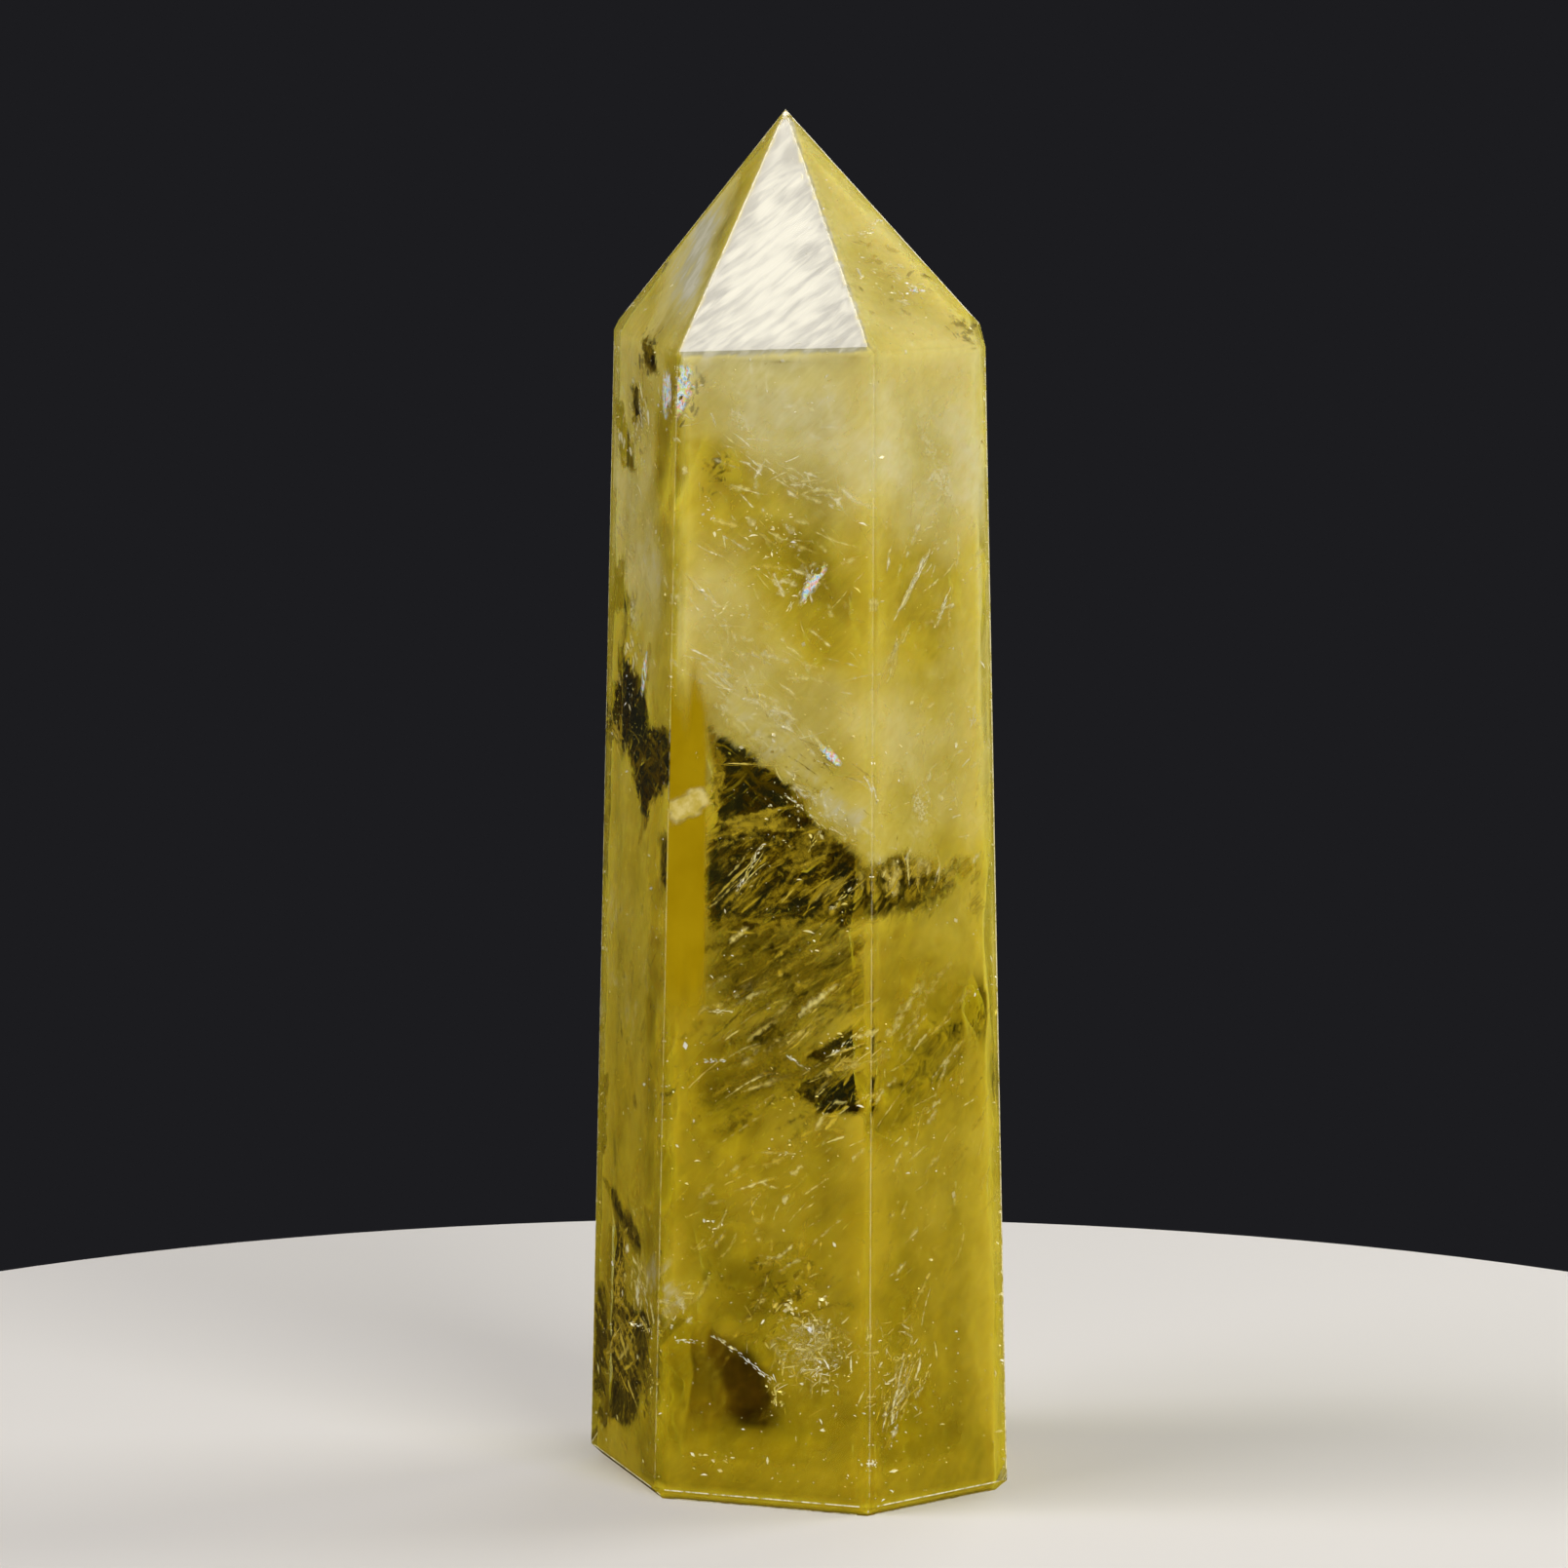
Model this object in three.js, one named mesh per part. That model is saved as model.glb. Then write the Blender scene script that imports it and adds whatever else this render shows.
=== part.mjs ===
// A polished citrine obelisk: one piece of yellow quartz, ground to an irregular six-sided tower that narrows upwards,
// with a six-faced point and a small chamfer round its base.
//
// Millimetres, +Z up. The origin is the middle of the base, and the crystal is looked at from -Y.
// Every flat is one half-space, and the solid is what lies inside all of them, as it is when each flat is ground in turn.
import * as THREE from "three";
import { ConvexGeometry } from "three/addons/geometries/ConvexGeometry.js";

// Driving dimensions
const HEIGHT = 100; // base to tip
const SHOULDER = 82; // height at which a side's upper distance is measured
const TIP_OFFSET = { x: -1.4, y: 0.2 }; // the tip isn't quite over the middle of the base
const BASE_CHAMFER = 0.8; // width of the 45 degree chamfer round the base

// The six ground sides. bearing is the way a side faces, in degrees anticlockwise from +X. foot and neck are its
// distances from the axis at the base and at the shoulder. facet is the height where its point facet starts, and turn is
// how far that facet is turned round from the side below it, in degrees.
const SIDES = [
  { bearing: -111.1, foot: 13.65, neck: 12.3, facet: 83.5, turn: -2.2 }, // front
  { bearing: -46.8, foot: 15.4, neck: 14.35, facet: 83.55, turn: 0.4 }, // front right
  { bearing: 11.9, foot: 13.25, neck: 11.15, facet: 85.0, turn: 0 }, // back right
  { bearing: 72.0, foot: 15.4, neck: 13.85, facet: 83.7, turn: 0.8 }, // back
  { bearing: 132.8, foot: 14.6, neck: 13.8, facet: 84.35, turn: 0 }, // back left
  { bearing: -162.8, foot: 13.3, neck: 11.55, facet: 83.3, turn: 1.0 }, // front left
];

const SAME_POINT = 1e-4; // corners nearer than this are one corner
const ON_FLAT = 1e-6; // a corner may lie this far outside a flat, for rounding

// The level direction of a bearing.
function direction(bearing) {
  const angle = THREE.MathUtils.degToRad(bearing);
  return new THREE.Vector3(Math.cos(angle), Math.sin(angle), 0);
}

// A flat as the half-space across . p + rise * z <= reach.
function flat(across, rise, reach) {
  return { normal: across.clone().setZ(rise), reach };
}

// The tapered side itself, its facet of the point, and its length of the base chamfer.
function flatsOfSide({ bearing, foot, neck, facet, turn }) {
  const across = direction(bearing);
  const taper = (foot - neck) / SHOULDER;
  const side = flat(across, taper, foot);
  const chamfer = flat(across, -1, foot - BASE_CHAMFER);

  // The facet runs from the side's middle, at the facet's height, to the tip.
  const acrossFacet = direction(bearing + turn);
  const start = across.clone().multiplyScalar(foot - taper * facet).dot(acrossFacet);
  const tip = acrossFacet.x * TIP_OFFSET.x + acrossFacet.y * TIP_OFFSET.y;
  const pitch = (start - tip) / (HEIGHT - facet);
  const pointFacet = flat(acrossFacet, pitch, tip + pitch * HEIGHT);
  return [side, pointFacet, chamfer];
}

// The point where three flats meet, or null if two of them are parallel.
function meetingPoint(a, b, c) {
  const bc = new THREE.Vector3().crossVectors(b.normal, c.normal);
  const ca = new THREE.Vector3().crossVectors(c.normal, a.normal);
  const ab = new THREE.Vector3().crossVectors(a.normal, b.normal);
  const volume = a.normal.dot(bc);
  if (Math.abs(volume) < ON_FLAT) return null;
  return bc
    .multiplyScalar(a.reach)
    .addScaledVector(ca, b.reach)
    .addScaledVector(ab, c.reach)
    .divideScalar(volume);
}

// Every corner of the solid that lies inside all the flats.
function cornersInside(flats) {
  const corners = [];
  const inside = (p) => flats.every((f) => f.normal.dot(p) <= f.reach + ON_FLAT);
  const isNew = (p) => corners.every((q) => q.distanceTo(p) > SAME_POINT);
  for (let i = 0; i < flats.length; i++) {
    for (let j = i + 1; j < flats.length; j++) {
      for (let k = j + 1; k < flats.length; k++) {
        const p = meetingPoint(flats[i], flats[j], flats[k]);
        if (p && inside(p) && isNew(p)) corners.push(p);
      }
    }
  }
  return corners;
}

// The whole crystal, moved so that the middle of its base outline is at the origin.
function crystalGeometry() {
  const floor = { normal: new THREE.Vector3(0, 0, -1), reach: 0 };
  const flats = [floor, ...SIDES.flatMap(flatsOfSide)];
  const geometry = new ConvexGeometry(cornersInside(flats));
  geometry.computeBoundingBox();
  const middle = geometry.boundingBox.getCenter(new THREE.Vector3());
  return geometry.translate(-middle.x, -middle.y, 0);
}

const citrine = new THREE.MeshStandardMaterial({
  name: "citrine",
  color: 0xc9b44a,
  roughness: 0.05,
  metalness: 0,
});

const crystal = new THREE.Mesh(crystalGeometry(), citrine);
crystal.name = "citrine_point";

const obelisk = new THREE.Group();
obelisk.name = "citrine_obelisk";
obelisk.add(crystal);

export default obelisk;
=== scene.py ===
import math
import random

import bmesh
import bpy
import numpy as np
from bpy.props import FloatProperty, FloatVectorProperty, PointerProperty
from mathutils import Matrix, Quaternion, Vector, noise


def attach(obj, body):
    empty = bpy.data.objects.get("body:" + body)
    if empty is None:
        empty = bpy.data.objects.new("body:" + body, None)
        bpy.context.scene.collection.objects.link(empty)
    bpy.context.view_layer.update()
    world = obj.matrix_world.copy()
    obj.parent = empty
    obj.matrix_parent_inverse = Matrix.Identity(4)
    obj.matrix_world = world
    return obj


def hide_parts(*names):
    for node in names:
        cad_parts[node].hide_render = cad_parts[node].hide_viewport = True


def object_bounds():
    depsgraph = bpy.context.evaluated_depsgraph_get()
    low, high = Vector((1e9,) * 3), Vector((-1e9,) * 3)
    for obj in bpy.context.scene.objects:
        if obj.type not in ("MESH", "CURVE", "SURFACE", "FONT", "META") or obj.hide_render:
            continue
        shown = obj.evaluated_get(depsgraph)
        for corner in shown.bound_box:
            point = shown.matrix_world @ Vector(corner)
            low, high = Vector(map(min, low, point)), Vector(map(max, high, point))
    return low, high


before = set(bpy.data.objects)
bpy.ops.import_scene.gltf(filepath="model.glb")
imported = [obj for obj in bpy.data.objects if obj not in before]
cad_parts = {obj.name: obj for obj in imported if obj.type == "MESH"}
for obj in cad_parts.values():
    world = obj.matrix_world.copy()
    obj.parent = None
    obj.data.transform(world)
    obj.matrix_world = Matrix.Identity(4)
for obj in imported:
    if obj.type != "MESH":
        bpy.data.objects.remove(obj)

bl_info = {
    "name": "Citrine obelisk",
    "version": (1, 0),
    "blender": (4, 5, 0),
    "location": "View3D > Sidebar > Obelisk",
    "description": "Dresses a polished citrine tower with its clouds, fractures and specks",
    "category": "Object",
}

MM = 0.001  # one millimetre in metres
NODE = "citrine_point"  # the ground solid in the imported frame
BODY = "root"
CAD_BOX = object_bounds()
HEIGHT = CAD_BOX[1].z - CAD_BOX[0].z

SHOULDER = (0.75, 0.9)  # where the sides end, in heights
# A flat whose normal rises more than this is a facet of the point, and one that sinks more is at the foot.
FACET_RISE = 0.3
SAME_POINT = 0.03 * MM  # corners nearer than this are one corner
SAME_FLAT = 0.3  # faces whose tilts differ by less, in degrees, are one flat

# The three narrow flats round each edge: how far round it they lie, and how deep they cut, in edge widths.
EDGE_FLATS = ((0.5, 0.5), (0.25, 0.36), (0.75, 0.36))
EDGE_END = 0.8 * MM  # how far a bruised line stops short of each corner
BRUISE_SINK = 1.1  # how deep the middle of a bruised line lies, in its own widths
UPRIGHT = 0.95  # a line that rises more than this is an upright edge
# The pale line on the two upright edges at the outline seen from the front is a painted highlight.
HIGHLIT_FLANKS = (-17.5, 165.0)  # bearings of the upright edges whose pale line is strongest
FLANK_REACH = 10  # an edge this near to such a bearing, in degrees, is one of them
FAINT = 0.15  # how strong the bruised line of any other upright edge is
TIP_RADIUS = 0.22 * MM  # of the white bruise in the tip

SOAK = 3.0 * MM  # how far light soaks into the milky quartz
FOOT_DEPTH = 0.4 * MM  # how deep the clouds lie above the base
CLOUD_MESH = 0.5 * MM  # the size of the faces of a sheet of cloud
CLOUD_SWELL = 0.16  # how closely the surface of a cloud swells, per mm
CALM_FOOT = 5  # over how many mm at the foot these swells die away
# The clouds' paler top is partly the quartz's own colour, partly painted light from above.
PALE_AND_TOP_LIGHT_RISE = (15, 55)  # from what height the clouds grow paler, and over how many mm
TIP_FROST = 98.6  # height in mm above which the blunted tip is white
RIM_WIDTH = 3.5  # how far, in mm, the denser rim of a side reaches from its edge
CORNER_WIDTH = 1.1  # the same for the densest line, right along the edge
BACK_FADE = 3.0  # the least fade, in mm, of a window's edge at the back
ROUND_CORNER = 3.0  # how far, in mm of depth, the windows of the left side reach round its far edge
SPILL = 0.35  # how far, in mm of depth, a side's frost reaches round its edges
ONE_SIDE = 15  # flats whose bearings differ by less, in degrees, are on one side

STRAND_SEED = 11  # of the chance that scatters the strands
STRAND_DEPTH = 0.3 * MM  # how deep the strands stop under the surface
SPECK_SEED = 7  # of the chance that scatters the needles and specks
SPECK_DEPTH = 0.2 * MM  # how deep the specks of a cluster stop under it
DUST_DEPTH = (0.15 * MM, 0.8 * MM)  # between what depths the loose specks lie
DUST_BOX = ((-15, 15), (-16.5, 16.5), (1, 98))  # where they are sought, in mm
DUST = (26, 120)  # how many batches of them there are, and how many are in each
DUST_SIZE = 0.05 * MM  # of the smallest of them
CROWD = 6 * MM  # how far apart their crowds are

FLOOR_THICKNESS = 8 * MM
LIT_PLACE = (0, 0, 60 * MM)  # what the lamps point at
# Each row has the name, the way to the lamp, its distance and size in metres, its radiance and its colour.
LAMPS = (
    ("key_softbox", (-0.523, -0.225, 0.822), 0.45, 0.22, 6.2, 0xF6F4FF),
    ("front_softbox", (0.45, -0.80, 0.40), 0.6, 0.30, 9.5, 0xFFFFFF),
    ("right_softbox", (0.85, 0.35, 0.38), 0.5, 0.25, 7.5, 0xFFFFFF),
    ("back_softbox", (0.35, 0.85, 0.40), 0.6, 0.30, 3.0, 0xFFFFFF),
    ("left_softbox", (-0.95, -0.1, 0.25), 0.6, 0.25, 8.5, 0xFFFFFF),
)
CAMERA_RISE = 7.6  # degrees above level
CAMERA_ROLL = 0.149  # degrees
CAMERA_DISTANCE = 0.6
CAMERA_TARGET = (-1.08 * MM, 0, 50.9 * MM)
CAMERA_LENS = 189.0  # focal length in mm, on a sensor 36 mm wide


# Colours


def linear(hex_value):
    """An sRGB hex value such as 0xC9B44A as linear RGBA."""
    parts = [(hex_value >> shift & 255) / 255 for shift in (16, 8, 0)]
    return tuple(p / 12.92 if p <= 0.04045 else ((p + 0.055) / 1.055) ** 2.4 for p in parts) + (1.0,)


def set_steps(colour_ramp, steps):
    """Gives a colour ramp its hex colours at their places from 0 to 1."""
    elements = colour_ramp.elements
    for i, (place, hex_value) in enumerate(steps):
        element = elements[i] if i < 2 else elements.new(place)
        element.position = place
        element.color = linear(hex_value)


# Materials


def add(tree, kind, *inputs, output=0, **values):
    """Adds one shader node and returns one of its outputs.

    Its inputs are given in order, by name with _ for a space, or by number as in _6. What another node puts
    out is linked. A name in small letters is a setting, and the setting steps holds a ramp's colours.
    """
    node = tree.nodes.new("ShaderNode" + kind)
    given = dict(enumerate(inputs))
    for name, value in values.items():
        if name == "steps":
            set_steps(node.color_ramp, value)
        elif name.islower():
            setattr(node, name, value)
        else:
            given[int(name[1:]) if name[0] == "_" else name.replace("_", " ")] = value
    for key, value in given.items():
        if isinstance(value, bpy.types.NodeSocket):
            tree.links.new(value, node.inputs[key])
        else:
            node.inputs[key].default_value = value
    return node.outputs[output] if node.outputs else None


def new_material(name):
    """A new material and its empty node tree."""
    material = bpy.data.materials.new(name)
    material.use_nodes = True
    material.node_tree.nodes.clear()
    return material, material.node_tree


def polished_citrine(s):
    """Clear yellow quartz, ground and polished: glassy, with a gold tint that deepens with its thickness."""
    material, tree = new_material("polished_citrine_quartz")
    quartz = add(
        tree,
        "BsdfPrincipled",
        Base_Color=(1, 1, 1, 1),
        Roughness=0.0,
        IOR=s.quartz_ior,
        Transmission_Weight=1.0,
    )
    # lamps and scattered light reach the clouds inside straight through the polished faces
    scattered = add(tree, "LightPath", output="Is Diffuse Ray")
    from_lamp = scattered.node.outputs["Is Shadow Ray"]
    open_side = add(tree, "BsdfTransparent")
    surface = add(tree, "MixShader", scattered, quartz, open_side)
    surface = add(tree, "MixShader", from_lamp, surface, open_side)
    tint = add(tree, "VolumeAbsorption", Color=linear(0xF4F200), Density=s.tint_density)
    add(tree, "OutputMaterial", Surface=surface, Volume=tint)
    return material


def inside_the_stone(tree, colour, alpha, glow=0.0, roughness=1.0, metallic=0.0):
    """Finishes a material of something shut in the quartz, with a glow where light soaks into it."""
    surface = add(
        tree,
        "BsdfPrincipled",
        Base_Color=colour,
        Roughness=roughness,
        Metallic=metallic,
        Specular_IOR_Level=0.0,
        Alpha=alpha,
        Subsurface_Weight=glow,
        Subsurface_Radius=(1.0, 0.8, 0.25),
        Subsurface_Scale=SOAK,
    )
    add(tree, "OutputMaterial", Surface=surface)


def streaks(tree, place, width, length, rise, swirl=0.0, detail=4.0):
    """Noise drawn out into streaks, of a width and length in mm, that rise to the right by some degrees."""
    turn = (0, -math.radians(rise), 0)
    turned = add(tree, "Mapping", place, Rotation=turn, Scale=(length / width, 1, 1), vector_type="TEXTURE")
    scale = 1 / (width * MM)
    return add(tree, "TexNoise", turned, Scale=scale, Detail=detail, Roughness=0.6, Distortion=swirl)


def billow_and_fibre(tree, place, rough, fibres):
    """The swells of the cloud, some 5 mm across, and the fibres in it, both from about -0.5 to 0.5."""
    billow = add(tree, "TexNoise", place, Scale=1 / (5 * MM), Detail=3.0, Roughness=rough)
    patterns = (billow, streaks(tree, place, *fibres))
    return [add(tree, "Math", pattern, 0.5, operation="SUBTRACT") for pattern in patterns]


# Milky quartz from the smallest share of fluid bubbles, deep honey yellow, to the largest, pale straw.
MILK_TONES = ((0.0, 0x9E8A10), (0.3, 0xC2AA26), (0.6, 0xDCC748), (0.85, 0xEADC92), (1.0, 0xF0ECD2))


def milky_quartz(name, wisps, glow):
    """Clouded quartz, full of tiny bubbles: soft yellow, paler where they crowd, and gone in the windows."""
    material, tree = new_material(name)
    place = add(tree, "TexCoord", output="Object")
    billow, fibre = billow_and_fibre(tree, place, 0.55, (0.7, 4.0, 42, 0.4, 3.0))
    marks = ("milk", "cover", "tone", "frost")
    milk, cover, tone, frost = (add(tree, "Attribute", attribute_name=mark, output="Fac") for mark in marks)
    rough = add(tree, "Math", billow, 0.9, milk, operation="MULTIPLY_ADD")
    rough = add(tree, "Math", fibre, 1.0, rough, operation="MULTIPLY_ADD")
    cover = add(tree, "Math", billow, wisps, cover, operation="MULTIPLY_ADD")
    cover = add(tree, "Math", fibre, wisps * 0.5, cover, operation="MULTIPLY_ADD", use_clamp=True)
    body = add(tree, "MapRange", rough, 0.3, 0.7, interpolation_type="SMOOTHSTEP")
    alpha = add(tree, "Math", cover, body, operation="MULTIPLY")
    tone = add(tree, "Math", billow, 0.3, tone, operation="MULTIPLY_ADD")
    tone = add(tree, "Math", fibre, 0.14, tone, operation="MULTIPLY_ADD")
    stone = add(tree, "ValToRGB", tone, steps=MILK_TONES)
    frost = add(tree, "Math", billow, 0.9, frost, operation="MULTIPLY_ADD")
    frost = add(tree, "Math", fibre, 0.9, frost, operation="MULTIPLY_ADD")
    frosted = add(tree, "MapRange", frost, 0.25, 0.75, interpolation_type="SMOOTHSTEP")
    mottle = add(tree, "MapRange", rough, 0.8, 1.2, interpolation_type="SMOOTHSTEP")
    white = add(tree, "Mix", mottle, _6=linear(0x9E987C), _7=linear(0xD2CCB0), data_type="RGBA", output=2)
    colour = add(tree, "Mix", frosted, _6=stone, _7=white, data_type="RGBA", output=2)
    inside_the_stone(tree, colour, alpha, glow)
    return material


def milky_heart():
    """The opaque heart of the clouds: behind the windows it is painted shade, a streaky dark olive or a
    smooth brownish tone.
    """
    material, tree = new_material("milky_quartz_heart")
    place = add(tree, "TexCoord", output="Object")
    billow, fibre = billow_and_fibre(tree, place, 0.5, (0.6, 4.0, 40, 0.8))
    marks = ("milk", "painted_dark_view", "painted_brown_view", "tone")
    milk, painted_dark_view, painted_brown_view, tone = (add(tree, "Attribute", attribute_name=mark, output="Fac") for mark in marks)
    tone = add(tree, "Math", billow, 0.22, tone, operation="MULTIPLY_ADD")
    stone = add(tree, "ValToRGB", tone, steps=MILK_TONES)
    # painted shade behind the windows: dark olive, broken by the fibres, in place of the view through clear
    # quartz
    dark_view_share = add(tree, "Math", fibre, -1.4, painted_dark_view, operation="MULTIPLY_ADD")
    dark_view_share = add(tree, "Math", billow, 0.5, dark_view_share, operation="MULTIPLY_ADD")
    dark_view_blend = add(tree, "MapRange", dark_view_share, 0.15, 1.0, interpolation_type="SMOOTHSTEP")
    olive = ((0.0, 0x201A03), (0.5, 0x54460A), (1.0, 0x8E7814))
    dark_view_olive = add(tree, "ValToRGB", add(tree, "MapRange", fibre, -0.25, 0.25), steps=olive)
    colour = add(tree, "Mix", dark_view_blend, _6=stone, _7=dark_view_olive, data_type="RGBA", output=2)
    swell = add(tree, "MapRange", billow, -0.15, 0.2, interpolation_type="SMOOTHSTEP")
    # painted shade behind the brownish windows: a smooth brownish tone in place of the view through clear
    # quartz
    brown_view_colour = add(tree, "Mix", swell, _6=linear(0x422E02), _7=linear(0x6E5208), data_type="RGBA", output=2)
    painted_brown_view = add(tree, "MapRange", painted_brown_view, 0.1, 0.9, interpolation_type="SMOOTHSTEP")
    colour = add(tree, "Mix", painted_brown_view, _6=colour, _7=brown_view_colour, data_type="RGBA", output=2)
    rim = add(tree, "Math", fibre, 2.2, milk, operation="MULTIPLY_ADD")
    alpha = add(tree, "MapRange", rim, 0.2, 0.6, interpolation_type="SMOOTHSTEP")
    inside_the_stone(tree, colour, alpha, glow=1.0)
    return material


def quartz_strand():
    """Wisps of milky quartz and healed crack, like brushed silk, from dark olive through gold to white."""
    material, tree = new_material("milky_quartz_strand")
    place = add(tree, "TexCoord", output="Object")
    fade = add(tree, "Attribute", attribute_name="fade", output="Fac")
    tone = add(tree, "Attribute", attribute_name="tone", output="Fac")
    broken = add(tree, "TexNoise", place, Scale=1 / (0.5 * MM), Detail=1.5, Roughness=0.6)
    body = add(tree, "Math", broken, 1.2, fade, operation="MULTIPLY_ADD")
    alpha = add(tree, "MapRange", body, 0.65, 1.35, interpolation_type="SMOOTHSTEP")
    steps = ((0.0, 0x4C3E06), (0.3, 0x8C7410), (0.6, 0xC8AC30), (0.8, 0xE6D88C), (1.0, 0xFFFDEE))
    inside_the_stone(tree, add(tree, "ValToRGB", tone, steps=steps), alpha)
    return material


def feathered_fracture():
    """Healed cracks: trails of minute bubbles that catch the light as golden feathers in the clear quartz."""
    material, tree = new_material("feathered_healed_fracture")
    place = add(tree, "TexCoord", output="Object")
    fade = add(tree, "Attribute", attribute_name="fade", output="Fac")
    fine = streaks(tree, place, 0.4, 2.6, 40, 1.2, 3.0)
    broad = streaks(tree, place, 1.6, 3.6, 28, 1.6, 2.0)
    body = add(tree, "Math", broad, 1.3, fine, operation="MULTIPLY_ADD")
    solid = add(tree, "MapRange", body, 1.0, 1.4, To_Max=0.95, interpolation_type="SMOOTHSTEP")
    steps = ((0.0, 0x5A480A), (0.35, 0x927812), (0.7, 0xC4A830), (1.0, 0xEEDD94))
    colour = add(tree, "ValToRGB", add(tree, "MapRange", body, 1.1, 1.6), steps=steps)
    inside_the_stone(tree, colour, add(tree, "Math", solid, fade, operation="MULTIPLY"))
    return material


def speckled_veil():
    """A healed crack seen flat on: a pale mist of pin-prick bubbles."""
    material, tree = new_material("speckled_healed_fracture")
    place = add(tree, "TexCoord", output="Object")
    fade = add(tree, "Attribute", attribute_name="fade", output="Fac")
    mist = streaks(tree, place, 1.6, 5.0, -36, 0.8, 4.0)
    prick = add(tree, "TexNoise", place, Scale=1 / (0.22 * MM), Detail=1.0, Roughness=0.5)
    body = add(tree, "Math", prick, 0.7, mist, operation="MULTIPLY_ADD")
    solid = add(tree, "MapRange", body, 0.8, 1.1, To_Max=0.75, interpolation_type="SMOOTHSTEP")
    inside_the_stone(tree, linear(0xF6F0CC), add(tree, "Math", solid, fade, operation="MULTIPLY"))
    return material


def swirled_quartz(name, size, low, high, dark, light):
    """Smooth quartz whose colour swirls between two close tones, over a size."""
    material, tree = new_material(name)
    place = add(tree, "TexCoord", output="Object")
    fade = add(tree, "Attribute", attribute_name="fade", output="Fac")
    swirl = add(tree, "TexNoise", place, Scale=1 / size, Detail=3.0, Roughness=0.6)
    share = add(tree, "MapRange", swirl, low, high, interpolation_type="SMOOTHSTEP")
    colour = add(tree, "Mix", share, _6=linear(dark), _7=linear(light), data_type="RGBA", output=2)
    inside_the_stone(tree, colour, fade)
    return material


def painted_honey_reflection():
    """A painted reflection: an even, deep honey colour in place of the light the clear quartz mirrors there.
    """
    return swirled_quartz("painted_honey_reflection", 5 * MM, 0.3, 0.7, 0xA08202, 0xAC8E08)


def straw_flake():
    """A smooth pale flake of milky quartz."""
    return swirled_quartz("straw_quartz_flake", 0.8 * MM, 0.35, 0.65, 0xC8B04A, 0xE0CC7C)


def crack_glint():
    """The open faces of tiny cracks and bubbles: near white, and shiny where they face a lamp."""
    material, tree = new_material("crack_glint")
    place = add(tree, "TexCoord", output="Object")
    tone = add(tree, "TexNoise", place, Scale=1 / (3 * MM), Detail=2.0, Roughness=0.6)
    steps = ((0.38, 0xF0E080), (0.5, 0xFFF8D0), (0.62, 0xFFFFFF))
    colour = add(tree, "ValToRGB", tone, steps=steps)
    inside_the_stone(tree, colour, 1.0, roughness=0.25, metallic=0.35)
    return material


def bruise_and_edge_highlight():
    """The edges between the flats: a fine, pale, broken line, partly a bruise from grinding, partly a painted
    highlight.
    """
    material, tree = new_material("bruised_quartz_edge_with_highlight")
    place = add(tree, "TexCoord", output="Object")
    fade = add(tree, "Attribute", attribute_name="fade", output="Fac")
    wear = add(tree, "TexNoise", place, Scale=1 / (0.8 * MM), Detail=4.0, Roughness=0.7)
    worn = add(tree, "MapRange", wear, 0.36, 0.6, To_Max=0.8, interpolation_type="SMOOTHSTEP")
    inside_the_stone(tree, linear(0xFFF6D0), add(tree, "Math", worn, fade, operation="MULTIPLY"))
    return material


def iridescent_fracture():
    """A thin air gap in a crack: a painted reflection, its silvery sheen and soft rainbow bands painted into
    its colour.
    """
    material, tree = new_material("iridescent_fracture")
    place = add(tree, "TexCoord", output="Object")
    fade = add(tree, "Attribute", attribute_name="fade", output="Fac")
    gap = add(tree, "TexNoise", place, Scale=1 / (1.0 * MM), Detail=3.0, Roughness=0.55)
    bands = add(tree, "Math", add(tree, "Math", gap, 6.0, operation="MULTIPLY"), operation="FRACT")
    hues = (0xFFFFFF, 0x8CCCF4, 0xFFFFFF, 0xC8F0A0, 0xFFE480, 0xF4A8B4, 0xFFFFFF)
    rainbow = add(tree, "ValToRGB", bands, steps=[(i / (len(hues) - 1), hue) for i, hue in enumerate(hues)])
    broken = streaks(tree, place, 0.3, 1.2, 75, 0.6)
    whole = add(tree, "MapRange", broken, 0.40, 0.47, interpolation_type="SMOOTHSTEP")
    alpha = add(tree, "Math", whole, fade, operation="MULTIPLY")
    inside_the_stone(tree, rainbow, alpha, roughness=0.3, metallic=0.1)
    return material


def matt_floor(s):
    """Matt paint, which shows no mirror image of the crystal."""
    material, tree = new_material("matt_painted_floor")
    paint = add(tree, "BsdfPrincipled", Base_Color=s.floor_colour, Roughness=0.8, Specular_IOR_Level=0.2)
    add(tree, "OutputMaterial", Surface=paint)
    return material


# Shapes


def crystal_mesh():
    """The ground solid as one closed mesh of flat faces."""
    bm = bmesh.new()
    bm.from_mesh(bpy.data.objects[NODE].data)
    bmesh.ops.remove_doubles(bm, verts=bm.verts, dist=SAME_POINT)
    bmesh.ops.dissolve_limit(bm, angle_limit=math.radians(SAME_FLAT), verts=bm.verts, edges=bm.edges)
    return bm


def crystal_flats():
    """A point on each ground flat, and the way it faces."""
    bm = crystal_mesh()
    flats = [(f.calc_center_median(), f.normal.copy()) for f in bm.faces if f.calc_area() > MM**2]
    bm.free()
    return flats


def grind(bm, point, normal, close=True):
    """Grinds away all that lies beyond a flat, and closes the cut."""
    whole = [*bm.verts, *bm.edges, *bm.faces]
    cut = bmesh.ops.bisect_plane(bm, geom=whole, dist=1e-7, plane_co=point, plane_no=normal, clear_outer=True)
    rim = [e for e in cut["geom_cut"] if isinstance(e, bmesh.types.BMEdge)]
    if close and len(rim) > 2:
        bmesh.ops.contextual_create(bm, geom=rim)


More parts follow.
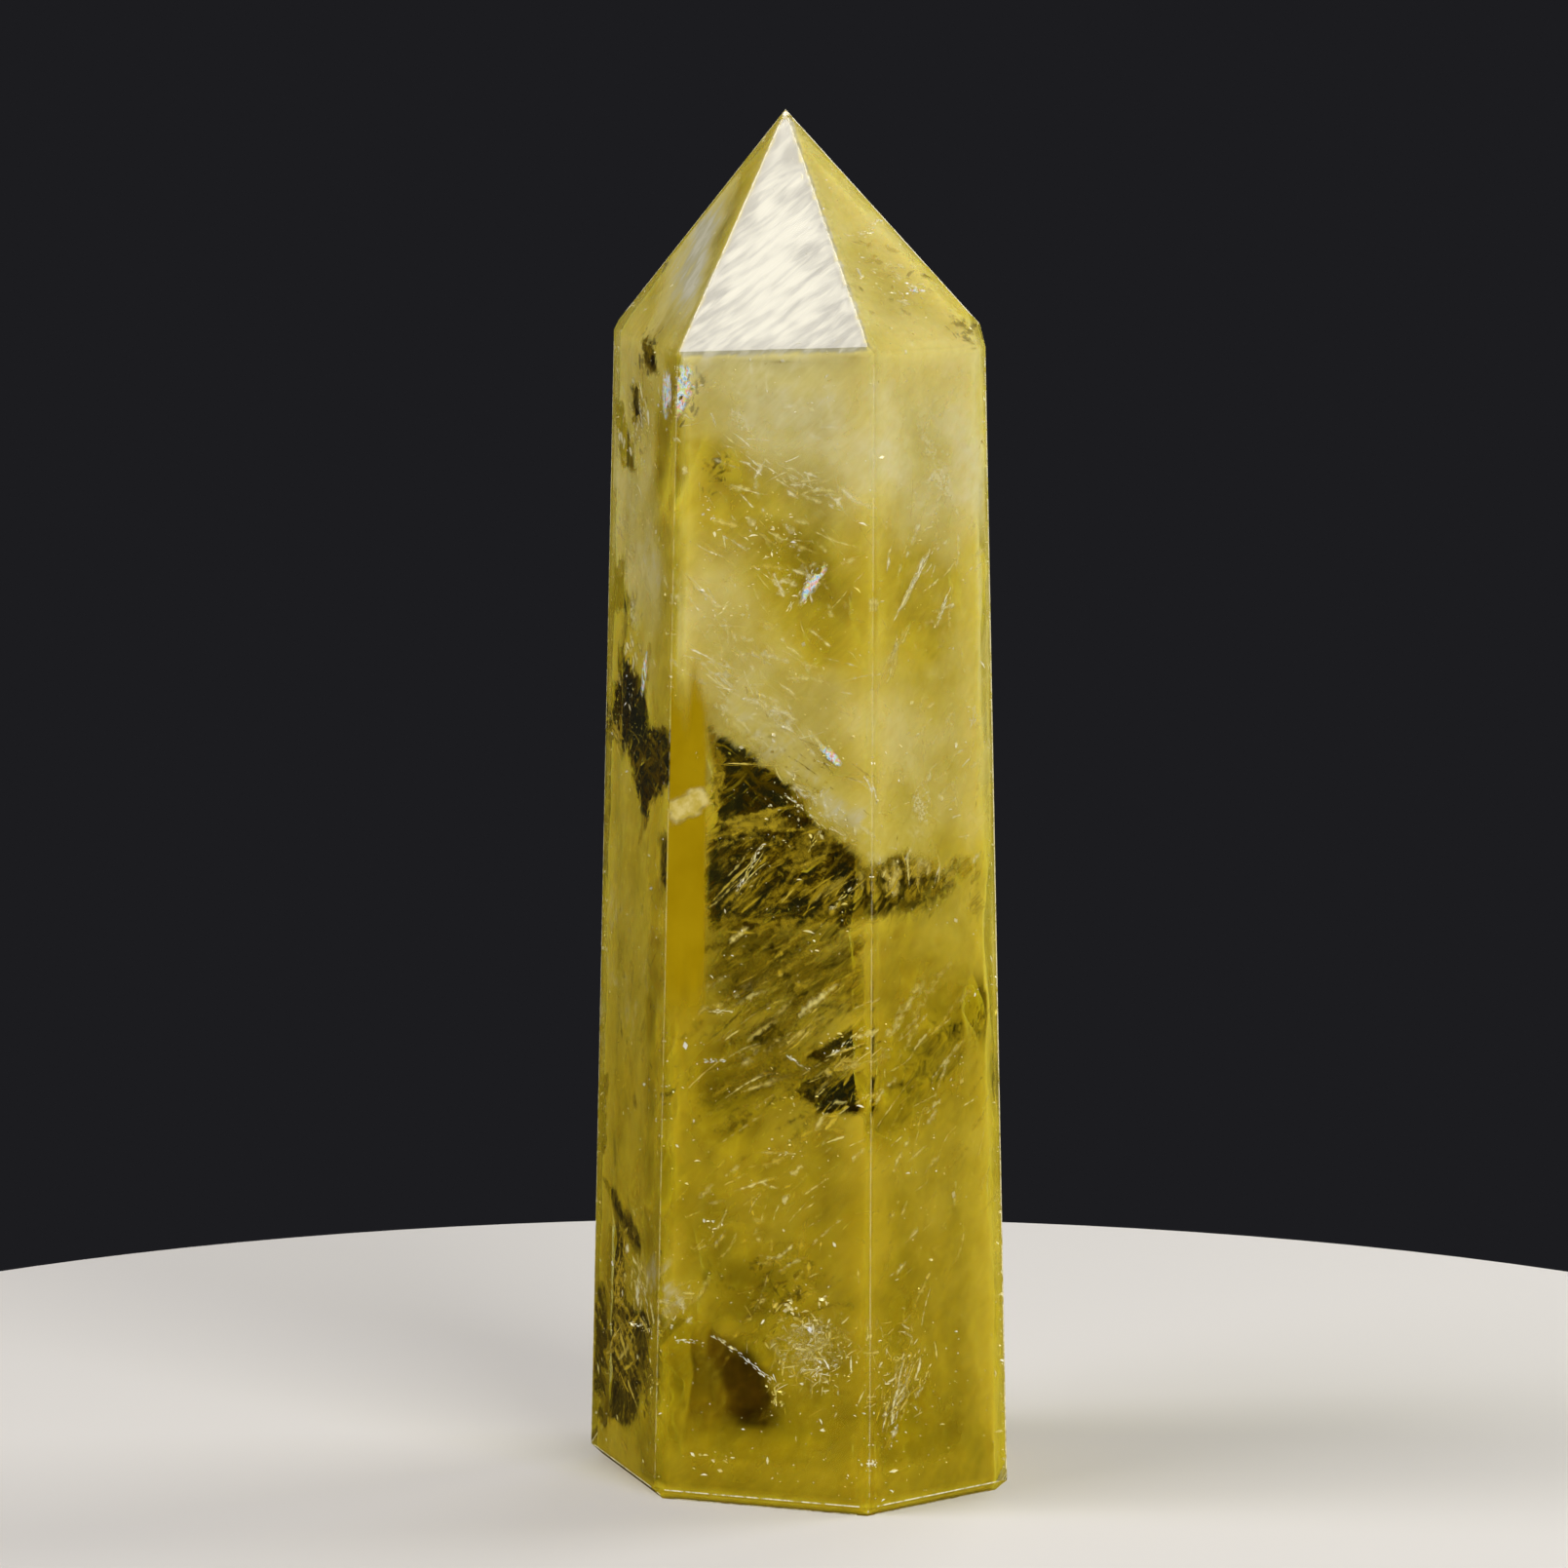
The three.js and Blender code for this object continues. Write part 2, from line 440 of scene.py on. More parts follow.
def inset_solid(flats, depth):
    """A solid that lies a given depth under every flat of the crystal, or less at its foot."""
    bm = bmesh.new()
    bmesh.ops.create_cube(bm, size=3 * HEIGHT)
    for point, normal in flats:
        sink = depth if normal.z > -FACET_RISE else min(depth, FOOT_DEPTH)
        grind(bm, point - normal * sink, normal)
    bmesh.ops.recalc_face_normals(bm, faces=bm.faces)
    return bm


def depth_under(flats, place):
    """How deep a place lies under the nearest flat."""
    return min((point - place).dot(normal) for point, normal in flats)


def piece(name, bm, material, smooth=False):
    """Makes a finished piece of the mesh, riding on the crystal's body."""
    mesh = bpy.data.meshes.new(name)
    bm.to_mesh(mesh)
    bm.free()
    for polygon in mesh.polygons:
        polygon.use_smooth = smooth
    mesh.materials.append(material)
    made = bpy.data.objects.new(name, mesh)
    bpy.context.scene.collection.objects.link(made)
    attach(made, BODY)
    return made


def gather(bm, part):
    """Adds a part's shapes to a mesh, as many small parts are quicker to make than one large one."""
    mesh = bpy.data.meshes.new("part")
    part.to_mesh(mesh)
    part.free()
    bm.from_mesh(mesh)
    bpy.data.meshes.remove(mesh)


def evenly_meshed(bm, size):
    """The solid again, as an even mesh of small faces."""
    mesh = bpy.data.meshes.new("even")
    bm.to_mesh(mesh)
    bm.free()
    helper = bpy.data.objects.new("even", mesh)
    bpy.context.scene.collection.objects.link(helper)
    remesh = helper.modifiers.new("Even", "REMESH")
    remesh.mode = "VOXEL"
    remesh.voxel_size = size
    shown = helper.evaluated_get(bpy.context.evaluated_depsgraph_get())
    even = bmesh.new()
    even.from_mesh(shown.to_mesh())
    shown.to_mesh_clear()
    bpy.data.objects.remove(helper)
    bpy.data.meshes.remove(mesh)
    return even


# Where the crystal is milky


def smoothstep(low, high, value):
    """A smooth rise from 0 at low to 1 at high."""
    t = min(max((value - low) / (high - low), 0.0), 1.0)
    return t * t * (3 - 2 * t)


DIP = math.tan(math.radians(5.2))  # how steeply a sight line sinks inside the crystal

# How each side is looked through, in degrees: the bearing of the sight lines behind it, and the one it faces.
FRONT = (82.4, -111.1)
RIGHT = (106.6, -46.8)
LEFT = (55.3, -162.8)
BACK = (255.0, 72.0)
BACK_LEFT = (309.0, 132.8)
BACK_RIGHT = (195.0, 11.9)
FULL_TURN = 360  # added to the bearing of a side for its facet of the point
FRONT_POINT = (82.4, -111.1 + FULL_TURN)
RIGHT_POINT = (104.6, -46.8 + FULL_TURN)
LEFT_POINT = (59.2, -162.8 + FULL_TURN)
SEEN_SIDES = (FRONT, RIGHT, LEFT, FRONT_POINT, RIGHT_POINT, LEFT_POINT)

# A window is an opening in the cloud behind one side. Each row has the side, what lies at its heart, how far
# its edge fades in mm, how clear it gets, and its outline as (across, up) in mm. One that is clear at heart
# on the front, right or left goes right through the crystal. The others end on the heart, which is painted
# there with painted shade, dark olive or brownish, in place of the view through clear quartz.
WINDOWS = [
    # the dark window across the front, clear at the top and with painted shade below
    (FRONT, "clear", 1.2, 1.0, [
        (-4.9, 56.0), (-2.8, 54.4), (0.8, 51.8), (4.2, 48.0), (7.6, 45.4), (7.6, 41.5), (1.0, 41.0),
        (-4.9, 40.6),
    ]),
    (FRONT, "painted_dark_view", 4.0, 0.62, [
        (-5.0, 42.5), (7.8, 43.0), (7.8, 35.0), (3.4, 31.5), (-1.0, 35.0), (-5.0, 34.0),
    ]),
    # small ones low on the front, by its right edge
    (FRONT, "clear", 0.9, 1.0, [(2.2, 31.6), (4.4, 33.2), (7.3, 35.0), (7.3, 32.0), (5.0, 31.4)]),
    (FRONT, "clear", 0.9, 1.0, [(1.4, 29.0), (3.6, 30.6), (7.3, 31.0), (7.3, 28.0), (4.0, 27.6)]),
    (FRONT, "painted_dark_view", 1.2, 0.9, [(-2.0, 33.8), (0.2, 34.6), (1.2, 33.4), (-0.6, 31.6), (-2.4, 32.0)]),
    (FRONT, "painted_dark_view", 4.0, 0.55, [(2.0, 34.0), (7.4, 35.0), (7.4, 27.4), (2.0, 27.4)]),
    (FRONT, "painted_dark_view", 6.0, 0.35, [(-4.5, 31.0), (0.0, 31.0), (-1.0, 25.0), (-5.0, 25.0)]),
    # the brownish corner at the foot of the front: painted shade in place of the view through clear quartz
    (FRONT, "painted_brown_view", 4.0, 0.6, [(-9.0, 13.0), (-5.0, 12.4), (-0.4, 9.2), (-0.4, 3.0), (-9.0, 4.0)]),
    (FRONT, "painted_brown_view", 0.8, 0.75, [
        (-5.4, 12.4), (-0.3, 9.0), (-0.3, 4.0), (-1.8, 4.2), (-3.6, 7.0), (-5.0, 10.0),
    ]),
    (FRONT, "painted_brown_view", 2.4, 0.9, [(-3.6, 11.2), (-0.3, 9.0), (-0.3, 4.0), (-3.0, 4.6), (-4.0, 8.0)]),
    # the dark band of painted shade that goes on round the right edge, and a streak of it lower down
    (RIGHT, "painted_dark_view", 1.4, 0.85, [(-0.5, 46.2), (3.4, 46.2), (5.4, 43.0), (4.0, 42.0), (-0.5, 41.4)]),
    (RIGHT, "painted_dark_view", 2.0, 0.62, [
        (-0.5, 46.2), (9.6, 46.0), (9.6, 44.0), (7.4, 42.4), (5.4, 41.6), (-0.5, 41.4),
    ]),
    (RIGHT, "painted_dark_view", 4.0, 0.6, [
        (0.5, 26.6), (1.5, 30.4), (5.5, 34.4), (11.5, 37.4), (11.5, 33.6), (7.5, 30.4), (3.5, 28.0),
    ]),
    # the tall window of the left side, and small ones of painted shade above and below it
    (LEFT, "clear", 1.2, 1.0, [
        (-12.2, 60.4), (-9.2, 59.6), (-8.8, 58.5), (-6.4, 58.3), (-5.8, 55.4), (-1.6, 54.8), (-1.6, 50.8),
        (-4.4, 50.2), (-6.2, 46.8), (-7.6, 49.0), (-10.4, 52.4), (-13.6, 53.6), (-13.9, 57.5),
        (-12.2, 57.9),
    ]),
    (LEFT, "painted_dark_view", 1.2, 0.9, [(-3.7, 46.8), (-1.6, 47.8), (-1.6, 42.6), (-3.0, 43.6)]),
    (LEFT, "painted_dark_view", 2.5, 0.7, [(-14.4, 66.6), (-11.0, 66.6), (-8.0, 62.4), (-11.0, 62.0), (-14.6, 62.6)]),
    (LEFT, "painted_dark_view", 0.9, 0.95, [(-8.9, 84.4), (-6.6, 84.2), (-5.4, 80.4), (-7.8, 80.8)]),
    (LEFT, "painted_dark_view", 1.0, 0.9, [(-14.4, 78.8), (-11.8, 78.2), (-9.6, 73.2), (-12.4, 72.8)]),
    (LEFT, "painted_dark_view", 1.0, 0.8, [(-10.8, 79.8), (-8.8, 79.8), (-8.2, 76.2), (-9.8, 76.2)]),
    # the window at the left foot
    (LEFT, "painted_dark_view", 1.0, 0.95, [(-14.0, 20.6), (-12.0, 20.4), (-5.6, 17.6), (-5.8, 15.8), (-11.0, 17.6)]),
    (LEFT, "painted_dark_view", 1.2, 1.0, [
        (-12.4, 17.2), (-9.8, 17.0), (-8.6, 12.2), (-3.4, 12.0), (-3.4, 8.0), (-5.2, 7.6), (-5.6, 3.6),
        (-9.0, 2.4), (-16.0, 2.6), (-16.0, 12.0), (-12.0, 12.4),
    ]),
    (LEFT, "painted_dark_view", 1.0, 0.95, [(-15.0, 28.5), (-13.1, 28.5), (-13.1, 22.6), (-15.0, 22.6)]),
    # the back
    (BACK, "clear", 4.0, 1.0, [
        (-9.0, 52.0), (0.0, 44.0), (8.0, 36.0), (8.0, 43.0), (1.0, 51.0), (-8.0, 56.0),
    ]),
    (BACK, "painted_dark_view", 6.0, 0.6, [(-8.0, 24.0), (6.0, 11.0), (8.0, 16.0), (-4.0, 29.0)]),
    (BACK_LEFT, "painted_dark_view", 5.0, 0.7, [(-7.0, 70.0), (2.0, 60.0), (8.0, 50.0), (4.0, 50.0), (-7.0, 62.0)]),
    (BACK_RIGHT, "painted_dark_view", 5.0, 0.6, [(-7.0, 36.0), (0.0, 29.0), (6.5, 20.0), (3.0, 19.0), (-6.0, 28.0)]),
]
# Where a film of frost lies under the surface: side, fade, strength and outline.
FROST = [
    (FRONT_POINT, 1.0, 0.9, [(-9.0, 101.0), (9.0, 101.0), (9.0, 80.0), (-9.0, 80.0)]),
    (LEFT_POINT, 3.5, 0.65, [(-10.0, 94.0), (-4.6, 94.0), (-3.2, 88.0), (-3.6, 85.0), (-8.0, 84.0)]),
    (FRONT, 2.5, 0.30, [(-3.0, 81.4), (6.0, 81.4), (4.0, 77.5), (1.0, 78.5)]),
    (FRONT, 2.0, 0.36, [(-3.0, 57.5), (1.0, 54.5), (7.6, 50.0), (7.6, 46.5), (1.0, 52.0), (-4.0, 56.0)]),
    (RIGHT, 2.0, 0.30, [(-0.5, 49.0), (6.0, 48.5), (6.0, 46.0), (-0.5, 46.0)]),
    (LEFT, 3.0, 0.22, [(-14.5, 42.5), (-2.0, 42.5), (-2.0, 29.5), (-14.5, 29.0)]),
    (LEFT, 2.5, 0.30, [(-15.0, 73.0), (-11.0, 73.0), (-3.0, 67.0), (-3.0, 62.0), (-8.0, 66.0)]),
    (FRONT, 2.0, 0.45, [(-9.0, 16.0), (-6.4, 15.0), (-6.4, 12.4), (-9.0, 12.0)]),
    (LEFT, 2.0, 0.45, [(-7.0, 18.0), (-2.5, 15.0), (-2.5, 11.5), (-5.0, 11.5)]),
    (FRONT, 2.0, 0.34, [(0.2, 12.6), (3.6, 13.4), (5.2, 9.6), (1.2, 7.6)]),
    (FRONT, 3.0, 0.20, [(3.5, 8.0), (7.6, 8.0), (7.6, 3.0), (4.5, 5.0)]),
    (RIGHT, 3.0, 0.24, [(-0.5, 12.0), (5.0, 13.0), (3.5, 5.0), (-0.5, 2.0)]),
    (BACK, 4.0, 0.40, [(-8.0, 64.0), (8.0, 52.0), (8.0, 57.0), (-8.0, 72.0)]),
]
# Where the cloud is paler than the rest, or deeper for a strength under 0: side, fade, strength and outline.
SHADES = [
    (FRONT_POINT, 2.0, 0.22, [(-9.0, 101.0), (9.0, 101.0), (9.0, 80.0), (-9.0, 80.0)]),
    (RIGHT_POINT, 3.0, 0.22, [(-3.0, 102.0), (8.0, 102.0), (14.5, 80.0), (-3.0, 80.0)]),
    (LEFT_POINT, 3.5, 0.35, [(-10.0, 94.0), (-4.6, 94.0), (-3.2, 88.0), (-3.6, 85.0), (-8.0, 84.0)]),
    (FRONT, 4.0, 0.34, [
        (-9.0, 84.6), (9.0, 84.6), (9.0, 70.3), (5.1, 70.9), (0.1, 75.1), (-4.0, 77.7), (-9.0, 79.0),
    ]),
    (RIGHT, 4.0, 0.25, [(-1.0, 84.0), (12.5, 84.0), (12.5, 69.7), (5.3, 69.3), (2.0, 71.3), (-1.0, 73.0)]),
    (FRONT, 5.0, 0.26, [
        (-9.0, 66.5), (-3.0, 67.0), (1.0, 60.5), (9.0, 57.0), (9.0, 45.5), (1.0, 52.0), (-9.0, 59.0),
    ]),
    (RIGHT, 5.0, 0.20, [(-1.0, 57.5), (5.0, 58.0), (12.5, 56.0), (12.5, 45.8), (-1.0, 45.8)]),
    (LEFT, 3.0, 0.25, [(-14.0, 72.0), (-3.0, 66.0), (-3.0, 56.0), (-7.0, 61.0), (-14.0, 65.0)]),
    (FRONT, 3.0, -0.08, [(-2.0, 18.0), (0.0, 15.5), (7.6, 14.5), (7.6, 5.0), (3.0, 6.5), (0.0, 10.5)]),
    (RIGHT, 4.0, -0.22, [(-1.0, 15.5), (4.0, 15.0), (5.0, 4.0), (-1.0, 2.5)]),
    # painted light: the cloud low along the right edge is paler, where light comes in from the right
    (RIGHT, 4.0, 0.16, [(9.5, 26.0), (14.0, 26.0), (14.0, 1.0), (9.0, 1.0)]),
    (FRONT, 4.0, -0.14, [(0.5, 68.5), (8.0, 67.0), (8.0, 61.5), (3.5, 61.0)]),
    (RIGHT, 4.0, -0.16, [(0.0, 67.5), (7.5, 66.0), (6.0, 60.5), (0.0, 61.0)]),
    (FRONT, 3.0, -0.10, [(-5.5, 76.0), (-1.0, 74.0), (-2.0, 71.0), (-6.0, 72.0)]),
    (FRONT, 2.5, -0.20, [(-4.5, 18.5), (-1.0, 19.5), (1.8, 18.0), (1.6, 14.0), (-3.4, 13.6)]),
    (RIGHT, 4.0, -0.40, [(0.0, 30.0), (6.0, 35.5), (12.0, 38.0), (12.0, 33.0), (3.0, 26.5), (0.0, 25.0)]),
    (FRONT, 4.0, -0.20, [(-6.0, 31.0), (1.0, 32.0), (-1.0, 24.0), (-6.0, 25.0)]),
    (FRONT, 3.0, 0.15, [(-1.5, 27.6), (2.6, 28.4), (2.6, 24.4), (-1.5, 24.6)]),
    (FRONT, 6.0, -0.22, [(-9.0, 7.0), (9.0, 7.0), (9.0, -3.0), (-9.0, -3.0)]),
    (RIGHT, 6.0, -0.22, [(-1.0, 6.0), (13.0, 6.0), (13.0, -3.0), (-1.0, -3.0)]),
    (FRONT, 4.0, -0.16, [(-9.0, 42.0), (-4.5, 42.0), (-3.0, 28.0), (-4.0, 16.0), (-9.0, 18.0)]),
    (FRONT, 2.5, -0.30, [(-9.0, 13.0), (-5.0, 12.5), (-4.0, 4.0), (-9.0, 4.0)]),
    (RIGHT, 3.0, -0.30, [(0.0, 28.5), (6.0, 34.0), (11.0, 36.0), (6.0, 31.0), (0.0, 26.0)]),
    (FRONT, 2.5, -0.14, [(-5.4, 75.4), (-3.0, 75.0), (-2.8, 72.4), (-4.8, 72.4)]),
    (RIGHT, 6.0, 0.08, [(-2.0, 82.0), (14.0, 82.0), (14.0, 3.0), (-2.0, 3.0)]),
    (LEFT, 3.0, -0.10, [(-7.0, 78.0), (-2.0, 78.0), (-2.0, 68.5), (-5.0, 70.0)]),
    (LEFT, 3.0, 0.14, [(-15.0, 84.0), (-5.0, 84.0), (-5.0, 70.0), (-15.0, 72.0)]),
    (LEFT, 1.6, -0.20, [(-4.8, 84.0), (-1.0, 84.0), (-1.0, 44.0), (-4.8, 44.0)]),
    (LEFT, 1.6, -0.30, [(-4.8, 44.0), (-1.0, 44.0), (-1.0, -2.0), (-5.2, -2.0)]),
    # painted light: the cloud behind the right edge is paler, where light comes in from the right
    (BACK_RIGHT, 3.0, 0.25, [(-14.0, 84.0), (-6.5, 84.0), (-6.5, 0.0), (-14.0, 0.0)]),
    (RIGHT, 4.0, -0.20, [(-1.0, 42.0), (4.0, 42.0), (6.0, 36.0), (3.0, 28.0), (-1.0, 27.0)]),
]


def across_and_up(points, bearing):
    """Where points in mm lie across a sight line of this bearing, and at what height along it."""
    angle = math.radians(bearing)
    across = points[:, 0] * math.sin(angle) - points[:, 1] * math.cos(angle)
    along = points[:, 0] * math.cos(angle) + points[:, 1] * math.sin(angle)
    return across, points[:, 2] + DIP * along


def depth_inside(x, y, outline):
    """How far inside an outline each place is, in mm, and less than zero outside it."""
    nearest = np.full(len(x), np.inf)
    inside = np.zeros(len(x), dtype=bool)
    for (ax, ay), (bx, by) in zip(outline, outline[1:] + outline[:1]):
        dx, dy = bx - ax, by - ay
        share = np.clip(((x - ax) * dx + (y - ay) * dy) / (dx * dx + dy * dy), 0, 1)
        nearest = np.minimum(nearest, np.hypot(x - ax - share * dx, y - ay - share * dy))
        if dy:
            inside ^= ((ay > y) != (by > y)) & (x < ax + (y - ay) * dx / dy)
    return np.where(inside, nearest, -nearest)


def drift(points, size, reach):
    """A soft shift of points in mm, by up to about a reach, that changes over a size."""
    return np.array([noise.noise_vector(Vector(p) / size) for p in points]) * reach


def share_inside(points, bearing, outline, fade):
    """How far inside an outline points lie, seen along a bearing, from 0 to 1 over its fading rim in mm."""
    return np.clip(0.5 + depth_inside(*across_and_up(points, bearing), outline) / fade, 0, 1)


def shell_fields(points, flats, is_heart):
    """How milky, pale and frosted the cloud is at points in mm, its painted dark and brownish shade, and how
    near an edge.
    """
    depths = np.array([[(point / MM - Vector(p)).dot(normal) for point, normal in flats] for p in points])
    ways = [math.degrees(math.atan2(n.y, n.x)) + FULL_TURN * (n.z > FACET_RISE) for _, n in flats]
    bearings = np.array(ways)
    nearest = bearings[np.argmin(depths, axis=1)]
    first, second = np.sort(depths, axis=1)[:, :2].T
    wander = drift(points, 3.0, 1.3) + drift(points, 1.0, 0.5)

    def on_side(bearing):
        """Whether each point lies behind this side."""
        return np.abs(nearest - bearing) < ONE_SIDE

    def near_side(bearing, reach):
        """How nearly each point lies behind this side, down to 0 where another is nearer by a reach in mm."""
        depth = depths[:, np.abs(bearings - bearing) < ONE_SIDE].min(axis=1)
        return np.clip(1 - (depth - first) / reach, 0, 1)

    def loose(fade):
        """The points, wandering as far as the fade of a rim lets them."""
        return points + wander * min(1, fade / 2)

    seen = np.any([on_side(side) for _, side in SEEN_SIDES], axis=0)
    milk = np.ones(len(points))
    painted_dark_view = np.zeros(len(points))
    painted_brown_view = np.zeros(len(points))
    for (bearing, side), heart, fade, clearness, outline in WINDOWS:
        softness = np.where(seen, fade, np.maximum(fade, BACK_FADE))
        share = share_inside(loose(fade), bearing, outline, softness) * clearness
        here = on_side(side)
        if heart == "clear" and side in (FRONT[1], RIGHT[1], LEFT[1]):
            here = here | ~seen  # such a window goes right through the crystal
        elif side == LEFT[1]:
            round_corner = np.clip(2 * near_side(LEFT[1], ROUND_CORNER), 0, 1)
            here = np.maximum(here, on_side(BACK_LEFT[1]) * round_corner)
        share = share * here
        # behind a window that ends on the heart, painted shade takes the place of the view through clear
        # quartz
        if heart == "painted_dark_view" and is_heart:
            painted_dark_view = np.maximum(painted_dark_view, share)
        elif heart == "painted_brown_view" and is_heart:
            painted_brown_view = np.maximum(painted_brown_view, share)
        else:
            milk = np.minimum(milk, 1 - share)
    pale = np.zeros(len(points))
    for (bearing, side), fade, strength, outline in SHADES:
        pale += strength * share_inside(loose(fade), bearing, outline, fade) * on_side(side)
    frost = np.zeros(len(points))
    for (bearing, side), fade, strength, outline in FROST:
        film = strength * share_inside(loose(fade), bearing, outline, fade) * near_side(side, SPILL)
        frost = np.maximum(frost, film)
    frost += np.clip(points[:, 2] - TIP_FROST, 0, 1)
    rim = np.clip(1 - (second - 0.4) / RIM_WIDTH, 0, 1)
    corner = np.clip(1 - (second - 0.35) / CORNER_WIDTH, 0, 1)
    return milk, painted_dark_view, painted_brown_view, pale, frost, rim, corner


def paint(bm, name, values):
    """Marks every corner of a mesh with a value."""
    mark = layer(bm, name)
    for v, value in zip(bm.verts, values):
        v[mark] = value


def cloud_shell(name, flats, depth, ripple, material, tone, cover, is_heart=False):
    """A billowing sheet of cloud at one depth in mm, all round the crystal.

    The tone is how pale it is on its own, and how much paler at the top, partly as painted light from above,
    and in the pale parts. The cover is how dense it is on its own, and how much denser in the pale parts, at
    the rims and edges and in the frost.
    """
    bm = evenly_meshed(inset_solid(flats, depth * MM), CLOUD_MESH)
    bm.normal_update()
    points = np.array([v.co / MM for v in bm.verts])
    milk, painted_dark_view, painted_brown_view, pale, frost, rim, corner = shell_fields(points, flats, is_heart)
    # paler towards the top: partly the quartz's own colour, partly painted light from above
    height = np.clip((points[:, 2] - PALE_AND_TOP_LIGHT_RISE[0]) / PALE_AND_TOP_LIGHT_RISE[1], 0, 1)
    paint(bm, "milk", milk)
    # the heart carries the painted shade behind its windows
    if is_heart:
        paint(bm, "painted_dark_view", painted_dark_view)
        paint(bm, "painted_brown_view", painted_brown_view)
    else:
        paint(bm, "frost", frost * cover[4])
    paint(bm, "tone", tone[0] + tone[1] * height + tone[2] * pale)
    density = cover[0] + cover[1] * pale + cover[2] * rim + cover[3] * corner + cover[4] * frost
    paint(bm, "cover", np.clip(density, 0, 1))
    start = Vector((depth * 17.3, 0, 0))  # where each sheet's own swells start
    for v, p in zip(bm.verts, points):
        swell = noise.fractal(Vector(p) * CLOUD_SWELL + start, 1.0, 2.0, 4)
        calm = min(max((p[2] - FOOT_DEPTH / MM) / CALM_FOOT, 0), 1)
        v.co += v.normal * (min(max(swell, -1), 1) * ripple * calm * MM)
    return piece(name, bm, material, smooth=True)


# Fractures


def behind(flats, sight, across, up, depth):
    """The place this deep behind a side along a sight line, from its measures across and up, all in mm."""
    angle = math.radians(sight[0])
    way = Vector((math.cos(angle), math.sin(angle), -DIP))
    start = Vector((math.sin(angle), -math.cos(angle), 0)) * across + Vector((0, 0, up))
    ahead = [(point / MM - start, normal) for point, normal in flats if way.dot(normal) < 0]
    entry = max(reach.dot(normal) / way.dot(normal) for reach, normal in ahead)
    return (start + way * (entry + depth)) * MM


def facing(sight, lean, turn):
    """A turn that stands a flat shape across a sight line, leans it back and turns it, in degrees."""
    stand = Matrix.Rotation(math.radians(sight[0] - 90), 4, "Z")
    stand = stand @ Matrix.Rotation(math.radians(90 + lean), 4, "X")
    return stand @ Matrix.Rotation(math.radians(turn), 4, "Z")


def layer(bm, name):
    """The mesh's layer for a painted value."""
    return bm.verts.layers.float.get(name) or bm.verts.layers.float.new(name)


def sheet(bm, place, turn, width, height, bend, seed, rim, square, tail):
    """Adds a thin, gently bent sheet with a ragged rim that fades out, from oval (2) to almost square (8).

    The tail is the share of its height over which its lower end dies away.
    """
    fade = layer(bm, "fade")
    grid = bmesh.ops.create_grid(bm, x_segments=30, y_segments=30, size=1)["verts"]
    offset = Vector((seed * 3.7, seed * 7.1, seed * 1.3))
    for v in grid:
        ragged = rim * noise.fractal(v.co * 2.2 + offset, 1.0, 2.0, 3)
        out = (abs(v.co.x) ** square + abs(v.co.y) ** square) ** (1 / square)
        v[fade] = 1 - smoothstep(0.9 - 1.5 * rim, 0.95, out + ragged)
        if tail:
            v[fade] *= smoothstep(-1, 2 * tail - 1, v.co.y + ragged)
        v.co.z = bend * noise.noise(v.co * 1.1 + offset)
    size = Matrix.Diagonal((width / 2 * MM, height / 2 * MM, MM, 1))
    bmesh.ops.transform(bm, matrix=Matrix.Translation(place) @ turn @ size, verts=grid)


def strand(bm, matrix, length, width, bow, strength, tone):
    """Adds a soft ribbon, bowed to one side, that thins to both ends."""
    fade = layer(bm, "fade")
    shade = layer(bm, "tone")
    grid = bmesh.ops.create_grid(bm, x_segments=8, y_segments=2, size=1)["verts"]
    for v in grid:
        taper = 1 - v.co.x**2
        v[fade] = strength * (1 - abs(v.co.y)) * math.sqrt(taper)
        v[shade] = tone
        v.co.y = v.co.y * width / 2 * (0.3 + 0.7 * taper) + bow * (taper - 0.5)
        v.co.x *= length / 2
    bmesh.ops.transform(bm, matrix=matrix @ Matrix.Scale(MM, 4), verts=grid)


def trim_inside(bm, flats, depth):
    """Cuts away what lies nearer than a depth to the crystal's outside."""
    for point, normal in flats:
        grind(bm, point - normal * depth, normal, close=False)


# Each row has the side, the place behind it as (across, up, depth), the lean, the turn, the width and height.
FEATHERS = [
    (FRONT, (2.4, 45.8, 3.0), 14, 20, 15, 10),
    (FRONT, (2.4, 45.4, 6.0), -10, 10, 16, 9),
    (FRONT, (2.0, 37.0, 2.6), -8, 25, 15, 12),
    (RIGHT, (6.0, 43.8, 2.5), 8, -8, 13, 7),
    (LEFT, (-8.5, 11.5, 3.0), 6, 64, 18, 12),
    (BACK, (1.0, 47.0, 3.0), 10, 30, 16, 14),
    (BACK_LEFT, (1.0, 56.0, 3.0), -8, 40, 16, 12),
    (BACK_RIGHT, (0.0, 26.0, 2.5), 6, 35, 12, 16),
]
VEILS = [
    (FRONT, (1.0, 76.5, 1.4), 6, -25, 15, 6),
    (FRONT, (0.5, 54.8, 1.0), 8, -38, 19, 4.5),
    (RIGHT, (4.0, 49.5, 1.2), 5, -20, 11, 7),
    (RIGHT, (5.0, 74.0, 1.5), 6, -15, 12, 7),
    (FRONT, (-3.5, 61.0, 1.2), 6, -40, 12, 4),
    (FRONT, (3.5, 11.5, 1.2), 10, 30, 8, 6),
    (LEFT, (-9.0, 63.0, 1.2), 0, -50, 14, 4),
    (BACK, (0.0, 66.0, 1.4), 12, -30, 18, 7),
    (BACK_LEFT, (1.0, 32.0, 1.4), -12, 36, 16, 8),
    (BACK_RIGHT, (0.0, 60.0, 1.4), 8, 30, 14, 8),
]
